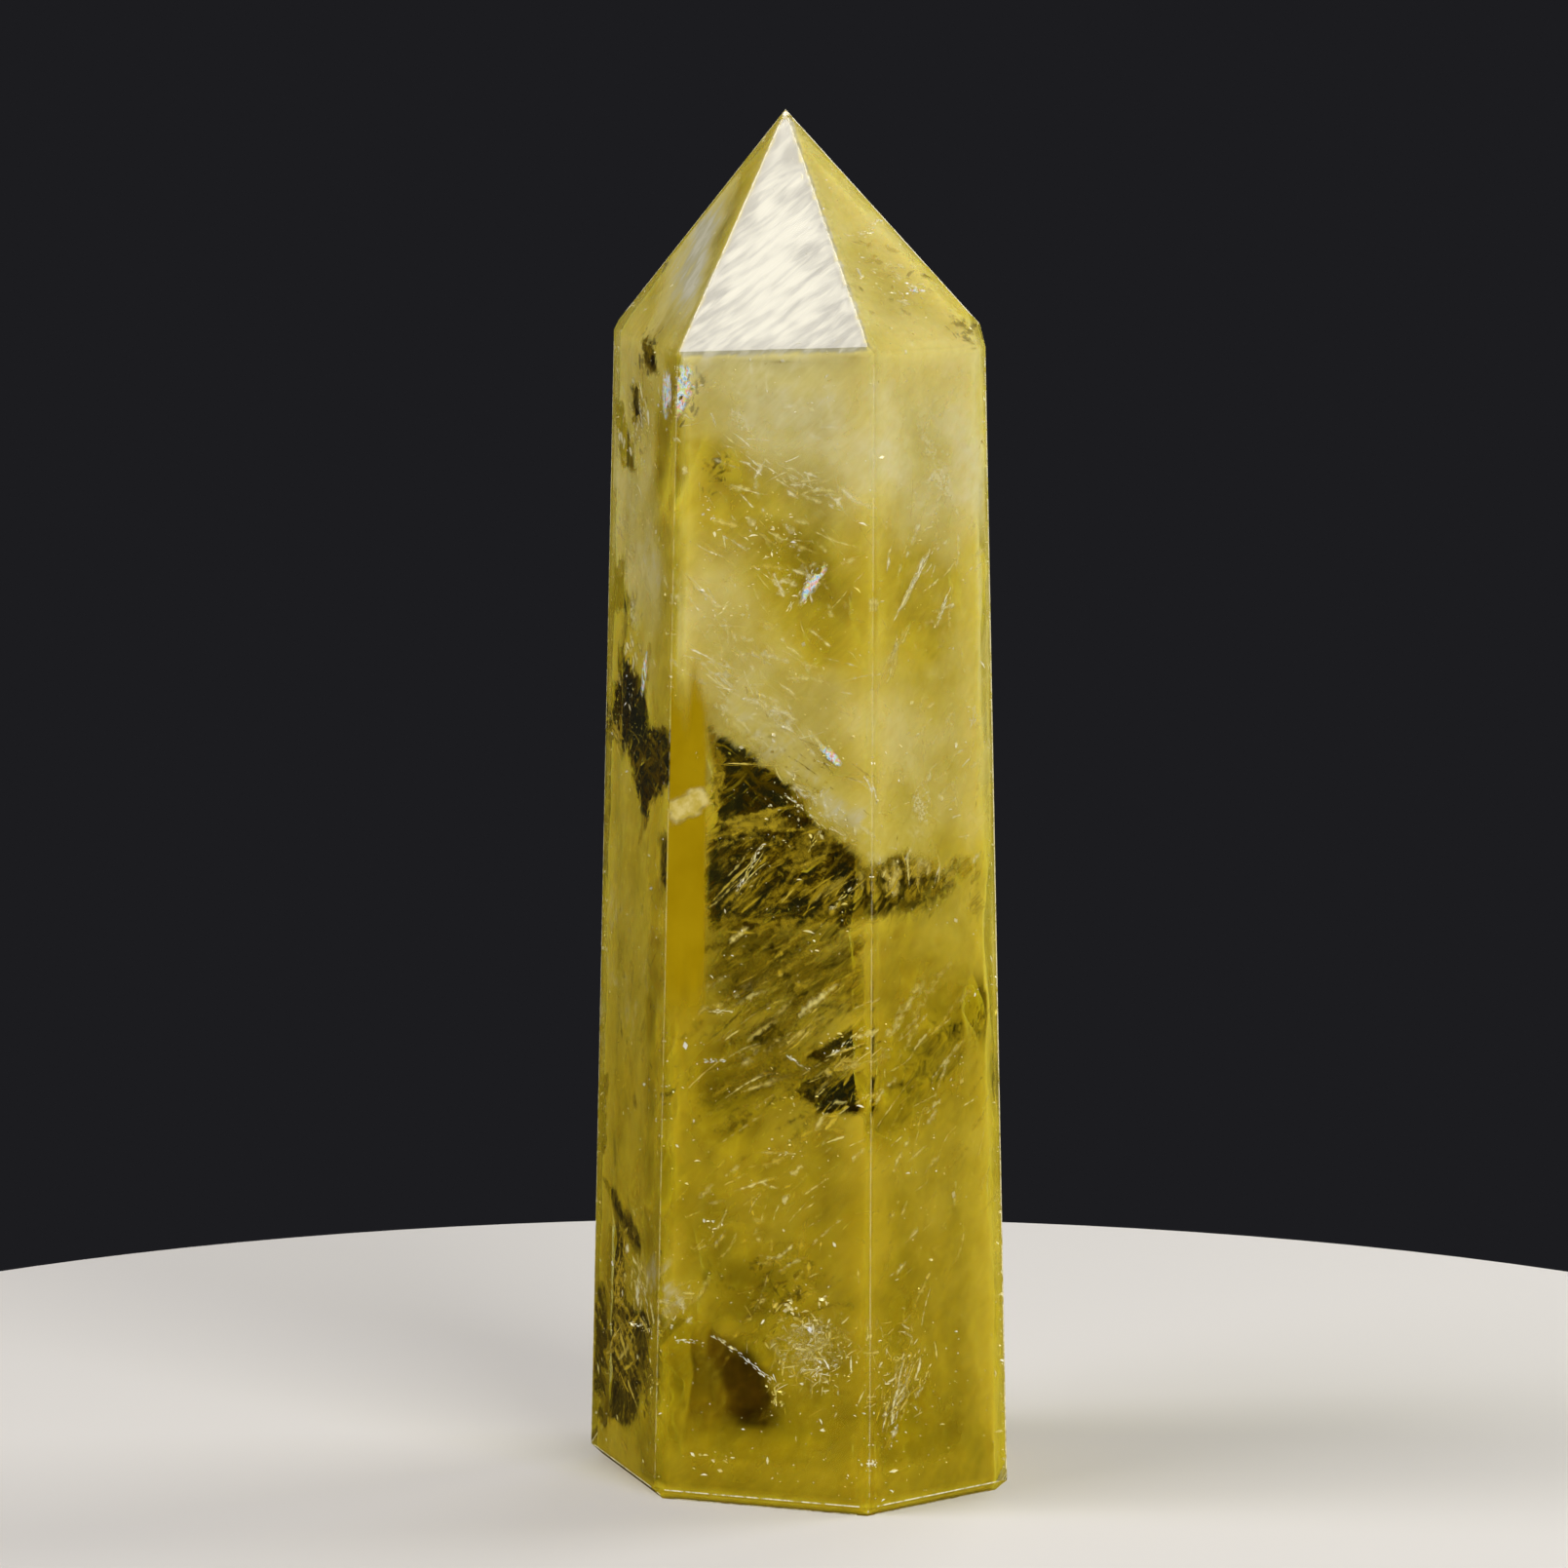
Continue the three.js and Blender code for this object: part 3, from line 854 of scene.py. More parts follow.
RAINBOWS = [
    (FRONT, (-7.1, 79.4, 0.3), 0, 76, 4.8, 2.1),
    (LEFT, (-3.4, 79.2, 0.3), 0, 82, 4.2, 3.0),
    (FRONT, (2.7, 65.8, 0.3), 0, 57, 4.0, 1.0),
    (FRONT, (4.2, 53.6, 0.3), 0, -40, 2.4, 0.9),
    (RIGHT, (5.8, 86.6, 0.3), 0, 0, 1.4, 0.7),
    (LEFT, (-7.0, 58.6, 0.3), 0, 70, 4.0, 1.4),
    (BACK, (3.0, 30.0, 0.3), 0, 50, 4.0, 1.6),
]
# a strip under the front face with a painted reflection in deep honey colour
HONEY_REFLECTION = [
    (FRONT, (-6.8, 45.6, 0.28), -0.9, 0, 4.1, 31.0),
]
FLAKES = [
    (FRONT, (-6.5, 49.7, 0.24), -0.9, 30, 4.2, 2.2),
]
# Each row is a swarm of strands: the side, the middle as (across, up), its spread as (along, across, tilt),
# the least and greatest depth, how many, their turn and its spread, the shortest and longest, the width, the
# strength, and the darkest and lightest tone.
STRANDS = [
    (FRONT, (-4.2, 51.8), (1.6, 0.4, 90), (0.8, 2), 34, (70, 50), (0.5, 1.6), 0.5, 0.8, (0.25, 0.6)),
    (FRONT, (-0.2, 53.3), (1.8, 0.3, -38), (1, 4), 14, (-20, 40), (0.8, 2.6), 0.8, 0.6, (0.25, 0.5)),
    (FRONT, (2.0, 49.6), (1.4, 0.5, -38), (1, 4), 12, (20, 50), (0.8, 2.4), 0.8, 0.6, (0.15, 0.45)),
    (FRONT, (-2.0, 52.8), (1.4, 0.05, 0), (0.7, 0.9), 10, (0, 1), (1.5, 3.6), 0.12, 1.0, (0.4, 0.7)),
    (FRONT, (-1.2, 49.2), (2.0, 0.4, 12), (1, 2.5), 8, (12, 8), (2.0, 4.4), 1.1, 0.7, (0.45, 0.62)),
    (FRONT, (-2.2, 47.8), (2.0, 0.4, 15), (1, 2.5), 8, (20, 8), (2.0, 4.4), 1.1, 0.7, (0.4, 0.6)),
    (FRONT, (1.8, 46.6), (3.4, 0.9, 10), (1, 3), 18, (38, 14), (1.4, 4.2), 1.2, 0.6, (0.25, 0.55)),
    (FRONT, (3.4, 47.6), (2.0, 0.5, -10), (1, 3), 10, (25, 20), (1.2, 3.6), 1.2, 0.6, (0.35, 0.6)),
    (FRONT, (-0.6, 43.6), (3.0, 1.2, 20), (1, 4), 24, (46, 7), (2.0, 5.0), 0.6, 0.7, (0.2, 0.6)),
    (FRONT, (-2.6, 44.6), (1.4, 0.7, 50), (0.8, 2), 9, (48, 4), (3.0, 5.0), 0.2, 1.0, (0.55, 0.8)),
    (FRONT, (4.2, 43.6), (2.6, 1.1, 20), (1, 3), 26, (46, 9), (1.4, 4.0), 0.5, 0.8, (0.25, 0.7)),
    (FRONT, (1.0, 41.4), (5.0, 0.6, 5), (0.8, 1.5), 26, (25, 15), (1.5, 4.0), 0.9, 0.7, (0.2, 0.5)),
    (FRONT, (3.0, 52.0), (5.0, 1.8, -38), (0.3, 0.8), 70, (-38, 25), (0.8, 3.0), 0.3, 0.7, (0.2, 0.55)),
    (FRONT, (4.2, 49.8), (3.4, 0.7, -36), (0.3, 0.8), 90, (-36, 35), (0.6, 2.2), 0.5, 0.7, (0.75, 1.0)),
    (FRONT, (-1.6, 55.2), (2.4, 0.7, -36), (0.5, 1.0), 50, (-36, 35), (0.6, 2.2), 0.5, 0.6, (0.7, 0.95)),
    (RIGHT, (4.3, 44.2), (3.2, 0.9, 0), (1, 3), 34, (75, 20), (0.8, 2.2), 0.6, 0.9, (0.25, 0.55)),
    (RIGHT, (3.8, 45.3), (2.8, 0.9, 0), (0.6, 1.2), 44, (75, 28), (0.6, 3.6), 0.7, 0.8, (0.4, 0.8)),
    (FRONT, (0.3, 38.2), (4.0, 2.2, 0), (1, 3), 56, (32, 8), (1.5, 5.0), 0.7, 0.6, (0.2, 0.55)),
    (FRONT, (0.0, 36.5), (5.0, 3.0, 0), (0.6, 1.2), 30, (30, 8), (2.0, 6.0), 0.8, 0.6, (0.0, 0.2)),
    (FRONT, (5.0, 31.2), (2.0, 0.9, 42), (1, 2.5), 22, (44, 7), (1.0, 3.0), 0.3, 1.0, (0.35, 0.75)),
    (FRONT, (5.4, 31.4), (1.2, 0.3, 15), (0.6, 1.0), 12, (15, 25), (0.8, 1.8), 0.7, 1.0, (0.55, 0.7)),
    (FRONT, (4.2, 27.2), (2.0, 1.0, 35), (0.8, 2), 34, (40, 18), (0.8, 2.6), 0.35, 0.9, (0.45, 0.8)),
    (FRONT, (-1.1, 30.4), (4.0, 4.0, 0), (0.8, 2.5), 34, (32, 12), (3.0, 8.0), 0.9, 0.5, (0.3, 0.55)),
    (FRONT, (0.6, 14.2), (2.6, 3.2, -10), (0.5, 1.2), 120, (45, 45), (0.4, 1.6), 0.35, 0.8, (0.05, 0.7)),
    (FRONT, (2.8, 9.8), (2.4, 2.6, 0), (0.4, 1.0), 200, (50, 45), (0.3, 1.6), 0.13, 0.9, (0.55, 1.0)),
    (RIGHT, (2.9, 7.6), (2.6, 1.0, 66), (0.4, 1.2), 90, (64, 18), (0.8, 3.6), 0.3, 0.75, (0.45, 0.95)),
    (RIGHT, (2.0, 9.5), (3.0, 3.0, 0), (0.4, 1.0), 120, (50, 40), (0.4, 1.8), 0.2, 0.7, (0.5, 0.9)),
    (FRONT, (-7.2, 13.6), (0.9, 1.2, -45), (0.5, 1.2), 40, (40, 50), (0.5, 1.4), 0.5, 0.6, (0.7, 1.0)),
    (LEFT, (-5.5, 13.6), (2.4, 1.6, -40), (0.5, 1.2), 50, (-50, 30), (0.8, 2.6), 0.5, 0.8, (0.65, 0.95)),
    (LEFT, (-9.6, 10.5), (4.0, 5.0, 0), (0.6, 2.0), 40, (-40, 8), (2.5, 8.0), 0.7, 1.0, (0.35, 0.65)),
    (LEFT, (-9.0, 10.0), (4.0, 4.0, 0), (0.6, 2.5), 16, (32, 12), (2.0, 5.0), 0.5, 0.9, (0.4, 0.7)),
    (LEFT, (-13.8, 8.0), (1.2, 3.6, 0), (0.5, 1.0), 34, (-40, 12), (1.5, 4.0), 1.3, 1.2, (0.0, 0.08)),
    (LEFT, (-4.6, 7.4), (0.8, 3.2, 0), (0.5, 1.0), 26, (-40, 20), (0.8, 3.0), 0.7, 1.0, (0.0, 0.25)),
    (LEFT, (-12.2, 53.5), (1.4, 3.4, 0), (0.6, 2.5), 14, (-70, 20), (1.0, 3.5), 0.5, 1.0, (0.45, 0.7)),
    (LEFT, (-8.4, 60.0), (2.8, 1.2, 0), (0.6, 1.5), 36, (-60, 30), (0.5, 1.6), 0.6, 1.0, (0.5, 0.95)),
    (LEFT, (-7.4, 47.0), (2.0, 1.0, 0), (0.6, 2.5), 12, (80, 12), (1.0, 3.0), 0.5, 0.8, (0.35, 0.55)),
    (LEFT, (-9.5, 76.0), (3.0, 3.8, 0), (0.5, 1.2), 80, (-55, 25), (0.6, 2.0), 0.5, 0.9, (0.3, 1.0)),
    (LEFT, (-7.5, 82.0), (1.4, 1.4, 0), (0.5, 1.2), 40, (-60, 30), (0.5, 1.5), 0.5, 1.0, (0.0, 0.5)),
    (LEFT, (-9.0, 68.0), (5.0, 1.6, -30), (0.5, 1.2), 60, (-32, 12), (1.0, 4.0), 0.6, 0.7, (0.6, 0.85)),
    (LEFT, (-8.0, 37.0), (5.0, 7.0, 0), (0.5, 1.2), 70, (75, 30), (0.5, 2.0), 0.6, 0.6, (0.1, 0.55)),
    (FRONT, (-6.5, 79.2), (2.2, 0.8, 82), (0.4, 0.8), 36, (70, 30), (0.4, 1.3), 0.4, 1.0, (0.0, 0.2)),
    (RIGHT, (4.0, 65.7), (1.7, 0.12, 58), (0.7, 1.2), 36, (58, 4), (1.0, 3.2), 0.18, 1.0, (0.8, 1.0)),
    (RIGHT, (6.6, 63.7), (1.0, 0.10, 66), (0.7, 1.2), 14, (66, 4), (1.0, 2.8), 0.15, 1.0, (0.8, 1.0)),
    (RIGHT, (2.3, 60.4), (1.8, 0.30, 68), (0.8, 1.6), 22, (68, 5), (1.5, 4.0), 0.35, 0.7, (0.7, 0.85)),
    (RIGHT, (4.0, 87.5), (3.0, 3.0, 0), (0.5, 1.0), 60, (10, 50), (0.5, 2.0), 0.5, 0.6, (0.3, 0.95)),
    (RIGHT, (9.0, 83.6), (1.0, 1.0, 0), (0.5, 1.0), 24, (-40, 50), (0.5, 1.5), 0.5, 0.8, (0.0, 0.4)),
    (FRONT, (-4.2, 73.8), (1.3, 0.8, 60), (0.5, 1.0), 30, (60, 40), (0.4, 1.4), 0.5, 0.6, (0.0, 0.4)),
    (FRONT, (0.0, 79.0), (6.5, 3.0, -10), (0.4, 0.8), 60, (-30, 40), (0.6, 3.0), 0.4, 0.55, (0.6, 1.0)),
    (FRONT, (1.0, 73.6), (6.0, 0.9, -24), (0.4, 0.9), 70, (-26, 25), (0.8, 3.0), 0.3, 0.6, (0.75, 1.0)),
    (FRONT, (0.0, 68.0), (8.0, 5.0, -36), (0.4, 0.9), 90, (-36, 25), (1.0, 4.0), 0.45, 0.5, (0.6, 0.95)),
    (FRONT, (-1.0, 60.0), (8.0, 4.5, -36), (0.4, 0.9), 80, (-36, 25), (1.0, 4.0), 0.45, 0.5, (0.6, 0.95)),
    (FRONT, (-1.0, 57.0), (7.0, 0.8, -34), (0.4, 0.9), 90, (-34, 22), (0.8, 3.5), 0.3, 0.65, (0.75, 1.0)),
    (RIGHT, (6.0, 70.0), (6.0, 7.0, 0), (0.4, 0.9), 80, (62, 25), (1.0, 4.0), 0.4, 0.5, (0.6, 0.95)),
    (RIGHT, (5.5, 52.0), (6.0, 5.0, 0), (0.4, 0.9), 70, (55, 30), (1.0, 4.0), 0.4, 0.5, (0.6, 0.95)),
    (RIGHT, (5.5, 24.0), (6.0, 9.0, 0), (0.4, 0.9), 90, (45, 20), (1.0, 4.0), 0.4, 0.5, (0.4, 0.85)),
    (FRONT, (0.0, 20.0), (7.0, 5.0, 0), (0.4, 0.9), 80, (42, 25), (1.0, 4.0), 0.4, 0.5, (0.4, 0.85)),
    (FRONT, (0.5, 31.0), (5.0, 5.0, 0), (0.6, 1.2), 30, (34, 8), (4.0, 9.0), 1.1, 0.5, (0.0, 0.2)),
    (FRONT, (0.5, 33.0), (5.0, 5.0, 0), (0.5, 1.0), 40, (34, 8), (2.0, 6.0), 0.5, 0.6, (0.6, 0.8)),
    (RIGHT, (5.0, 32.0), (4.0, 5.0, 0), (0.5, 1.0), 30, (42, 10), (2.0, 6.0), 0.6, 0.5, (0.6, 0.8)),
    (FRONT, (0.0, 14.0), (4.5, 3.0, -30), (0.6, 1.2), 24, (30, 30), (1.5, 4.0), 0.8, 0.5, (0.0, 0.3)),
    (BACK, (0.0, 47.0), (4.5, 4.0, 20), (1, 5), 70, (35, 14), (1.5, 5.0), 0.6, 1.0, (0.3, 0.7)),
    (BACK_LEFT, (0.5, 57.0), (4.0, 4.0, 20), (1, 3), 50, (40, 14), (1.5, 4.0), 0.5, 0.9, (0.35, 0.7)),
    (BACK_RIGHT, (-1.0, 26.0), (3.0, 5.0, 0), (1, 3), 50, (45, 14), (1.5, 4.0), 0.5, 0.9, (0.35, 0.7)),
]
# Each row has the side, the place behind it as (across, up, depth), the turn and the length.
NEEDLES = [
    (FRONT, (-1.9, 45.2, 1.0), 62, 3.8),
    (FRONT, (-1.5, 46.0, 1.1), 60, 2.6),
    (FRONT, (3.1, 47.7, 1.0), 62, 2.2),
    (FRONT, (2.3, 49.6, 0.8), -38, 4.2),
    (FRONT, (5.2, 47.9, 0.8), -30, 2.4),
    (FRONT, (1.9, 65.4, 0.7), 58, 3.6),
    (FRONT, (2.9, 65.8, 0.7), 58, 3.6),
    (FRONT, (-3.6, 64.2, 0.7), 52, 1.6),
    (RIGHT, (4.2, 66.0, 0.7), 58, 5.2),
    (RIGHT, (2.2, 90.6, 0.6), 15, 2.6),
    (RIGHT, (3.6, 91.4, 0.6), 25, 2.0),
    (RIGHT, (6.6, 63.8, 0.7), 66, 3.2),
    (RIGHT, (9.4, 56.0, 0.7), 76, 1.8),
    (FRONT, (5.0, 43.4, 1.0), 45, 2.2),
    (FRONT, (5.6, 33.2, 0.9), 40, 3.4),
    (FRONT, (1.8, 31.4, 0.8), -38, 1.8),
    (FRONT, (-3.9, 34.9, 0.8), 0, 1.8),
    (FRONT, (-4.3, 31.3, 0.8), 0, 1.8),
    (FRONT, (-3.2, 10.5, 0.8), -32, 3.0),
    (FRONT, (-1.0, 8.9, 0.8), -36, 2.6),
    (FRONT, (0.3, 7.0, 0.8), -85, 1.4),
    (FRONT, (-6.4, 10.7, 0.7), 0, 1.6),
    (LEFT, (-5.0, 10.9, 0.7), 0, 3.2),
    (RIGHT, (3.6, 8.5, 0.9), 66, 3.2),
    (RIGHT, (5.0, 8.0, 0.9), 62, 2.6),
]
# Each row is a cluster of bright specks: the side, its middle as (across, up), the spread, how many, the size
# in mm.
SPARKLES = [
    (FRONT, (1.4, 13.8), (0.5, 0.5), 12, 0.24),
    (FRONT, (2.3, 12.5), (0.9, 0.6), 18, 0.20),
    (FRONT, (3.9, 14.2), (0.3, 0.3), 5, 0.24),
    (FRONT, (-4.2, 19.6), (0.6, 0.5), 8, 0.14),
    (FRONT, (-3.6, 1.9), (1.0, 0.8), 6, 0.14),
    (FRONT, (3.8, 10.0), (2.4, 1.4), 30, 0.11),
    (FRONT, (0.4, 7.4), (0.6, 1.2), 14, 0.13),
    (FRONT, (2.6, 78.6), (0.7, 0.6), 14, 0.14),
    (FRONT, (-7.0, 79.2), (0.8, 2.2), 30, 0.17),
    (FRONT, (4.1, 53.6), (0.9, 0.7), 18, 0.12),
    (FRONT, (-3.2, 63.8), (1.6, 1.0), 12, 0.12),
    (FRONT, (2.6, 59.4), (1.4, 0.6), 6, 0.16),
    (FRONT, (0.4, 69.0), (1.4, 2.6), 40, 0.09),
    (FRONT, (-5.0, 71.0), (0.8, 0.8), 12, 0.11),
    (FRONT, (4.5, 49.4), (2.6, 0.7), 40, 0.09),
    (FRONT, (5.6, 33.0), (1.6, 0.8), 26, 0.10),
    (FRONT, (1.0, 28.6), (1.2, 0.8), 14, 0.11),
    (FRONT, (0.6, 25.2), (1.0, 0.7), 12, 0.12),
    (RIGHT, (1.6, 6.6), (1.8, 2.4), 40, 0.10),
    (RIGHT, (0.4, 2.4), (0.5, 0.4), 14, 0.11),
    (RIGHT, (9.2, 56.0), (0.4, 1.4), 12, 0.13),
    (RIGHT, (4.4, 86.4), (2.2, 1.4), 30, 0.12),
    (RIGHT, (5.8, 86.6), (0.8, 0.3), 10, 0.16),
    (RIGHT, (2.6, 94.0), (1.0, 2.0), 16, 0.10),
    (LEFT, (-4.0, 79.0), (1.6, 2.0), 40, 0.12),
    (LEFT, (-8.0, 76.0), (2.4, 3.0), 60, 0.12),
    (LEFT, (-4.4, 10.8), (1.2, 0.3), 14, 0.13),
    (LEFT, (-3.2, 7.0), (0.3, 3.0), 14, 0.12),
    (BACK, (1.0, 52.0), (3.0, 3.0), 60, 0.11),
    (BACK_LEFT, (0.0, 40.0), (3.0, 6.0), 50, 0.11),
    (BACK_RIGHT, (0.0, 62.0), (3.0, 6.0), 50, 0.11),
]


# Sizes and colours a user would change


class ObeliskStone(bpy.types.PropertyGroup):
    quartz_ior: FloatProperty(
        name="Refractive index",
        description="How strongly the quartz bends light",
        default=1.55,
        min=1.0,
        max=2.0,
    )
    tint_density: FloatProperty(
        name="Tint density",
        description="How fast the gold tint deepens, per metre",
        default=70.0,
        min=0.0,
    )
    edge_width: FloatProperty(
        name="Edge width",
        description="Width of the polished edges between the faces",
        default=0.12 * MM,
        subtype="DISTANCE",
        unit="LENGTH",
        precision=5,
    )
    bruise_width: FloatProperty(
        name="Bruise width",
        description="Width of the pale line along each edge",
        default=0.08 * MM,
        subtype="DISTANCE",
        unit="LENGTH",
        precision=5,
    )


class ObeliskStage(bpy.types.PropertyGroup):
    floor_radius: FloatProperty(
        name="Floor radius",
        description="Radius of the round floor",
        default=0.1,
        subtype="DISTANCE",
        unit="LENGTH",
    )
    floor_colour: FloatVectorProperty(
        name="Floor colour",
        description="Colour of the plain floor",
        default=linear(0xD8D4CC),
        size=4,
        subtype="COLOR",
        min=0,
        max=1,
    )
    backdrop_colour: FloatVectorProperty(
        name="Backdrop colour",
        description="Colour of the plain surroundings",
        default=linear(0x1C1C1F),
        size=4,
        subtype="COLOR",
        min=0,
        max=1,
    )


class OBELISK_OT_crystal(bpy.types.Operator):
    """Polishes the crystal, with fine edges between its faces"""

    bl_idname = "obelisk.crystal"
    bl_label = "Polished crystal"

    def execute(self, context):
        s = context.scene.obelisk_stone
        bm = crystal_mesh()
        edges = []
        for e in bm.edges:
            if len(e.link_faces) != 2 or e.calc_length() < MM:
                continue
            a, b = (f.normal for f in e.link_faces)
            edges.append((e.verts[0].co.copy(), a.copy(), b.copy()))
        for corner, a, b in edges:
            for share, cut in EDGE_FLATS:
                outward = a.lerp(b, share).normalized()
                sink = s.edge_width * cut * math.tan(a.angle(b) / 4)
                grind(bm, corner - outward * sink, outward)
        bmesh.ops.recalc_face_normals(bm, faces=bm.faces)
        made = piece("polished_crystal", bm, polished_citrine(s))
        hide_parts(NODE)
        return {"FINISHED"}


class OBELISK_OT_edges(bpy.types.Operator):
    """Draws the fine pale line along every edge, partly a bruise, partly a painted highlight"""

    bl_idname = "obelisk.edges"
    bl_label = "Bruised edges"

    def execute(self, context):
        s = context.scene.obelisk_stone
        solid = crystal_mesh()
        bm = bmesh.new()
        fade = layer(bm, "fade")
        for e in solid.edges:
            is_shoulder = all(SHOULDER[0] < v.co.z / HEIGHT < SHOULDER[1] for v in e.verts)
            if is_shoulder or e.calc_length() < MM:
                continue
            inward = -(e.link_faces[0].normal + e.link_faces[1].normal).normalized()
            middle = (e.verts[0].co + e.verts[1].co) / 2 + inward * s.bruise_width * BRUISE_SINK
            along = (e.verts[1].co - e.verts[0].co).normalized()
            aim = along.to_track_quat("Z", "Y").to_matrix().to_4x4()
            bar = bmesh.ops.create_cone(
                bm,
                cap_ends=True,
                segments=6,
                radius1=s.bruise_width / 2,
                radius2=s.bruise_width / 2,
                depth=e.calc_length() - 2 * EDGE_END,
                matrix=Matrix.Translation(middle) @ aim,
            )
            # a full pale line on the two outline edges, as a painted highlight, and a faint one on other
            # upright edges
            bearing = math.degrees(math.atan2(-inward.y, -inward.x))
            is_highlit_flank = min(abs(bearing - flank) for flank in HIGHLIT_FLANKS) < FLANK_REACH
            for v in bar["verts"]:
                v[fade] = FAINT if abs(along.z) > UPRIGHT and not is_highlit_flank else 1.0
        tip = max((v.co for v in solid.verts), key=lambda co: co.z)
        cap = Matrix.Translation(tip - Vector((0, 0, 2 * TIP_RADIUS)))
        for v in bmesh.ops.create_icosphere(bm, subdivisions=2, radius=TIP_RADIUS, matrix=cap)["verts"]:
            v[fade] = 1.5
        solid.free()
        bmesh.ops.recalc_face_normals(bm, faces=bm.faces)
        piece("bruised_edges", bm, bruise_and_edge_highlight())
        return {"FINISHED"}


class OBELISK_OT_clouds(bpy.types.Operator):
    """Grows the milky clouds inside the crystal"""

    bl_idname = "obelisk.clouds"
    bl_label = "Milky clouds"

    def execute(self, context):
        flats = crystal_flats()
        haze = milky_quartz("milky_quartz_haze", 0.5, 0.0)
        cloud = milky_quartz("milky_quartz_cloud", 0.5, 1.0)
        cloud_shell("outer_haze", flats, 0.35, 0.0, haze, (0.35, 0.35, 0.5), (0.03, 0.9, 0.08, 0.1, 1))
        cloud_shell("middle_cloud", flats, 1.1, 0.4, cloud, (0.25, 0.4, 0.5), (0.35, 1.2, 0.5, 0.2, 0))
        heart = milky_heart()
        cloud_shell("inner_cloud", flats, 3.2, 2.0, heart, (0.2, 0.4, 0.4), (1, 0, 0, 0, 0), is_heart=True)
        return {"FINISHED"}


class OBELISK_OT_fractures(bpy.types.Operator):
    """Opens the feathered, speckled and rainbow fractures inside the crystal"""

    bl_idname = "obelisk.fractures"
    bl_label = "Fractures"

    def execute(self, context):
        flats = crystal_flats()
        # name, rows, material, bend in mm, raggedness of the rim, squareness, the depth in mm where the
        # sheets are cut off, and tail; a sheet without a bend lies flat under its side
        groups = (
            ("feathered_fractures", FEATHERS, feathered_fracture(), 1.2, 0.3, 2, 0.45, 0),
            ("speckled_veils", VEILS, speckled_veil(), 0.6, 0.3, 2, 0.45, 0),
            ("rainbow_fractures", RAINBOWS, iridescent_fracture(), 0.0, 0.3, 2, 0.2, 0),
            ("honey_zone", HONEY_REFLECTION, painted_honey_reflection(), 0.0, 0.16, 8, 0.2, 0.3),
            ("straw_flakes", FLAKES, straw_flake(), 0.0, 0.2, 3, 0.2, 0),
        )
        for name, rows, material, bend, rim, square, depth, tail in groups:
            bm = bmesh.new()
            for seed, (sight, middle, lean, turn, width, height) in enumerate(rows):
                place = behind(flats, sight, *middle)
                toward = (sight[1] + 180, sight[1]) if bend == 0 else sight
                sheet(bm, place, facing(toward, lean, turn), width, height, bend, seed, rim, square, tail)
            trim_inside(bm, flats, depth * MM)
            piece(name, bm, material, smooth=True)
        return {"FINISHED"}


class OBELISK_OT_strands(bpy.types.Operator):
    """Combs silky strands of milky quartz through the windows"""

    bl_idname = "obelisk.strands"
    bl_label = "Silky strands"

    def execute(self, context):
        flats = crystal_flats()
        chance = random.Random(STRAND_SEED)
        bm = bmesh.new()
        for sight, middle, spread, depths, count, turns, lengths, width, strength, shades in STRANDS:
            long, wide, tilt = spread
            angle = math.radians(tilt)
            swarm = bmesh.new()
            for _ in range(count):
                along, aside = chance.gauss(0, 0.6) * long, chance.gauss(0, 0.6) * wide
                across = middle[0] + along * math.cos(angle) - aside * math.sin(angle)
                up = middle[1] + along * math.sin(angle) + aside * math.cos(angle)
                place = behind(flats, sight, across, up, chance.uniform(*depths))
                length = lengths[0] + (lengths[1] - lengths[0]) * chance.random() ** 1.5
                aim = facing(sight, chance.gauss(0, 12), chance.gauss(*turns))
                strand(
                    swarm,
                    Matrix.Translation(place) @ aim,
                    length,
                    width * (0.4 + 1.6 * chance.random() ** 2),
                    length * chance.gauss(0, 0.05),
                    strength * chance.uniform(0.4, 1.0),
                    chance.uniform(*shades),
                )
            gather(bm, swarm)
        trim_inside(bm, flats, STRAND_DEPTH)
        piece("silky_strands", bm, quartz_strand(), smooth=True)
        return {"FINISHED"}


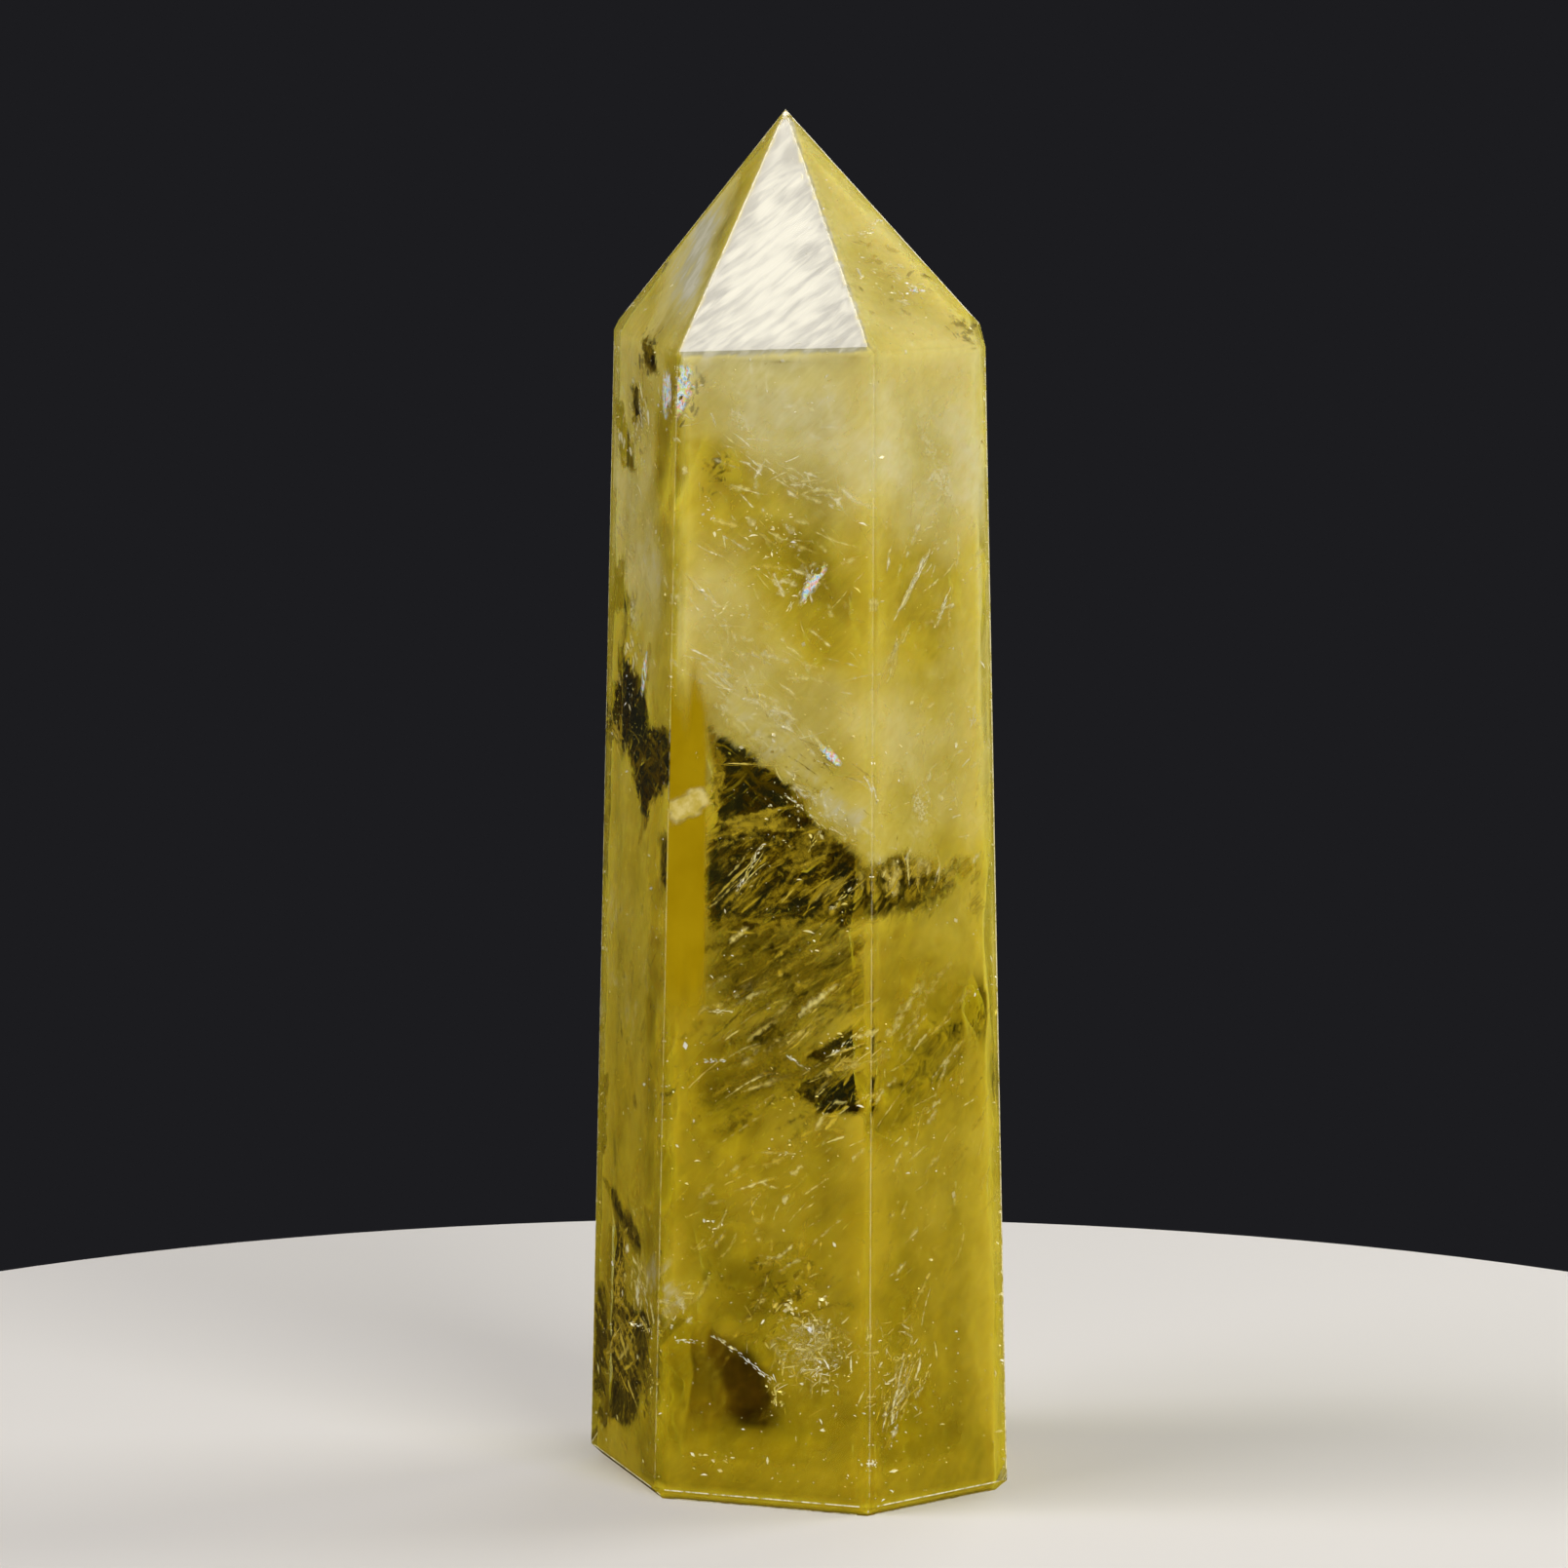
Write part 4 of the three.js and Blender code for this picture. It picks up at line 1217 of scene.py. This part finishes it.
class OBELISK_OT_glints(bpy.types.Operator):
    """Scatters needles and specks through the crystal"""

    bl_idname = "obelisk.glints"
    bl_label = "Needles and specks"

    def execute(self, context):
        flats = crystal_flats()
        bm = bmesh.new()
        chance = random.Random(SPECK_SEED)
        part = bmesh.new()
        for sight, middle, turn, length in NEEDLES:
            self.scratch(part, Matrix.Translation(behind(flats, sight, *middle)), sight, turn, length, chance)
        gather(bm, part)
        for sight, middle, spread, count, size in SPARKLES:
            part = bmesh.new()
            for _ in range(count):
                across = middle[0] + chance.gauss(0, 0.7) * spread[0]
                up = middle[1] + chance.gauss(0, 0.7) * spread[1]
                p = behind(flats, sight, across, up, chance.uniform(0.35, 1.0))
                if depth_under(flats, p) > SPECK_DEPTH:
                    self.speck(part, p, size * MM * chance.uniform(0.4, 1.1), chance)
            gather(bm, part)
        batches, count = DUST
        for _ in range(batches):
            part = bmesh.new()
            made = 0
            while made < count:
                p = Vector([chance.uniform(*reach) for reach in DUST_BOX]) * MM
                crowd = noise.noise(p / CROWD) + chance.uniform(-0.3, 0.5)
                if not DUST_DEPTH[0] < depth_under(flats, p) < DUST_DEPTH[1] or crowd < 0:
                    continue
                made += 1
                self.speck(part, p, DUST_SIZE * (1 + 3.5 * chance.random() ** 7), chance)
            gather(bm, part)
        bmesh.ops.recalc_face_normals(bm, faces=bm.faces)
        piece("glints", bm, crack_glint())
        return {"FINISHED"}

    def speck(self, bm, place, size, chance):
        """Adds one tiny flat-sided bubble or chip."""
        spin = Matrix.Rotation(chance.uniform(0, math.tau), 4, Vector((chance.random(), chance.random(), 1)))
        shape = Matrix.Diagonal((size * chance.uniform(1, 2.2), size, size * 0.6, 1))
        matrix = Matrix.Translation(place) @ spin @ shape
        bmesh.ops.create_cone(bm, cap_ends=True, segments=4, radius1=1, radius2=0.3, depth=1, matrix=matrix)

    def scratch(self, bm, place, sight, turn, length, chance):
        """Adds a broken line of short needles."""
        for _ in range(round(6 + 7 * length)):
            bit = chance.uniform(0.1, 0.5)
            shift = Vector((chance.uniform(-0.5, 0.5) * length, chance.gauss(0, 0.08), chance.gauss(0, 0.15)))
            shape = Matrix.Diagonal((bit / 2 * MM, chance.uniform(0.015, 0.04) * MM, 0.02 * MM, 1))
            tilt = facing(sight, chance.gauss(0, 15), turn)
            skew = Matrix.Rotation(math.radians(chance.gauss(0, 8)), 4, "Z")
            matrix = place @ tilt @ Matrix.Translation(shift * MM) @ skew @ shape
            bmesh.ops.create_icosphere(bm, subdivisions=1, radius=1, matrix=matrix)


class OBELISK_OT_stage(bpy.types.Operator):
    """Sets the plain floor, the soft studio lights and the camera"""

    bl_idname = "obelisk.stage"
    bl_label = "Stage"

    def execute(self, context):
        s = context.scene.obelisk_stage
        self.lay_floor(s)
        self.hang_lights()
        self.place_camera()
        world = bpy.data.worlds.new("plain_surroundings")
        world.use_nodes = True
        world.node_tree.nodes["Background"].inputs["Color"].default_value = s.backdrop_colour
        context.scene.world = world
        context.scene.view_settings.view_transform = "Standard"
        context.scene.cycles.transparent_max_bounces = 20
        context.scene.cycles.max_bounces = 7
        context.scene.cycles.diffuse_bounces = 2
        return {"FINISHED"}

    def lay_floor(self, s):
        """Lays a round floor under the base."""
        bm = bmesh.new()
        bmesh.ops.create_cone(
            bm,
            cap_ends=True,
            segments=128,
            radius1=s.floor_radius,
            radius2=s.floor_radius,
            depth=FLOOR_THICKNESS,
            matrix=Matrix.Translation((0, 0, -FLOOR_THICKNESS / 2)),
        )
        mesh = bpy.data.meshes.new("floor")
        bm.to_mesh(mesh)
        bm.free()
        mesh.materials.append(matt_floor(s))
        floor = bpy.data.objects.new("floor", mesh)
        bpy.context.scene.collection.objects.link(floor)
        floor.visible_glossy = False  # the polished faces don't mirror the floor, as with a polarising filter

    def hang_lights(self):
        """Hangs square soft lamps all round."""
        for name, way, distance, size, radiance, colour in LAMPS:
            lamp = bpy.data.lights.new(name, "AREA")
            lamp.shape = "SQUARE"
            lamp.size = size
            lamp.color = linear(colour)[:3]
            lamp.energy = radiance * math.pi * size * size
            holder = bpy.data.objects.new(name, lamp)
            away = Vector(way).normalized()
            holder.location = Vector(LIT_PLACE) + away * distance
            holder.rotation_euler = away.to_track_quat("Z", "Y").to_euler()
            bpy.context.scene.collection.objects.link(holder)

    def place_camera(self):
        """Looks at the crystal from the front, from a little above."""
        rise = math.radians(CAMERA_RISE)
        back = Vector((0, -math.cos(rise), math.sin(rise)))
        lens = bpy.data.cameras.new("camera")
        lens.sensor_width = 36
        lens.lens = CAMERA_LENS
        lens.clip_start = 0.01
        camera = bpy.data.objects.new("camera", lens)
        camera.location = Vector(CAMERA_TARGET) + back * CAMERA_DISTANCE
        aim = (-back).to_track_quat("-Z", "Y") @ Quaternion((0, 0, 1), math.radians(CAMERA_ROLL))
        camera.rotation_euler = aim.to_euler()
        bpy.context.scene.collection.objects.link(camera)
        bpy.context.scene.camera = camera


class OBELISK_PT_panel(bpy.types.Panel):
    bl_label = "Citrine obelisk"
    bl_idname = "OBELISK_PT_panel"
    bl_space_type = "VIEW_3D"
    bl_region_type = "UI"
    bl_category = "Obelisk"

    def draw(self, context):
        for operator in OPERATORS:
            self.layout.operator(operator.bl_idname)


OPERATORS = (
    OBELISK_OT_stage,
    OBELISK_OT_crystal,
    OBELISK_OT_edges,
    OBELISK_OT_clouds,
    OBELISK_OT_fractures,
    OBELISK_OT_strands,
    OBELISK_OT_glints,
)
SETTINGS = {"obelisk_stone": ObeliskStone, "obelisk_stage": ObeliskStage}


def register():
    for kind in (*SETTINGS.values(), *OPERATORS, OBELISK_PT_panel):
        bpy.utils.register_class(kind)
    for name, kind in SETTINGS.items():
        setattr(bpy.types.Scene, name, PointerProperty(type=kind))


def unregister():
    for name in SETTINGS:
        delattr(bpy.types.Scene, name)
    for kind in reversed((*SETTINGS.values(), *OPERATORS, OBELISK_PT_panel)):
        bpy.utils.unregister_class(kind)


def main():
    register()
    bpy.ops.obelisk.stage()
    bpy.ops.obelisk.crystal()
    bpy.ops.obelisk.edges()
    bpy.ops.obelisk.clouds()
    bpy.ops.obelisk.fractures()
    bpy.ops.obelisk.strands()
    bpy.ops.obelisk.glints()


if __name__ == "__main__":
    main()
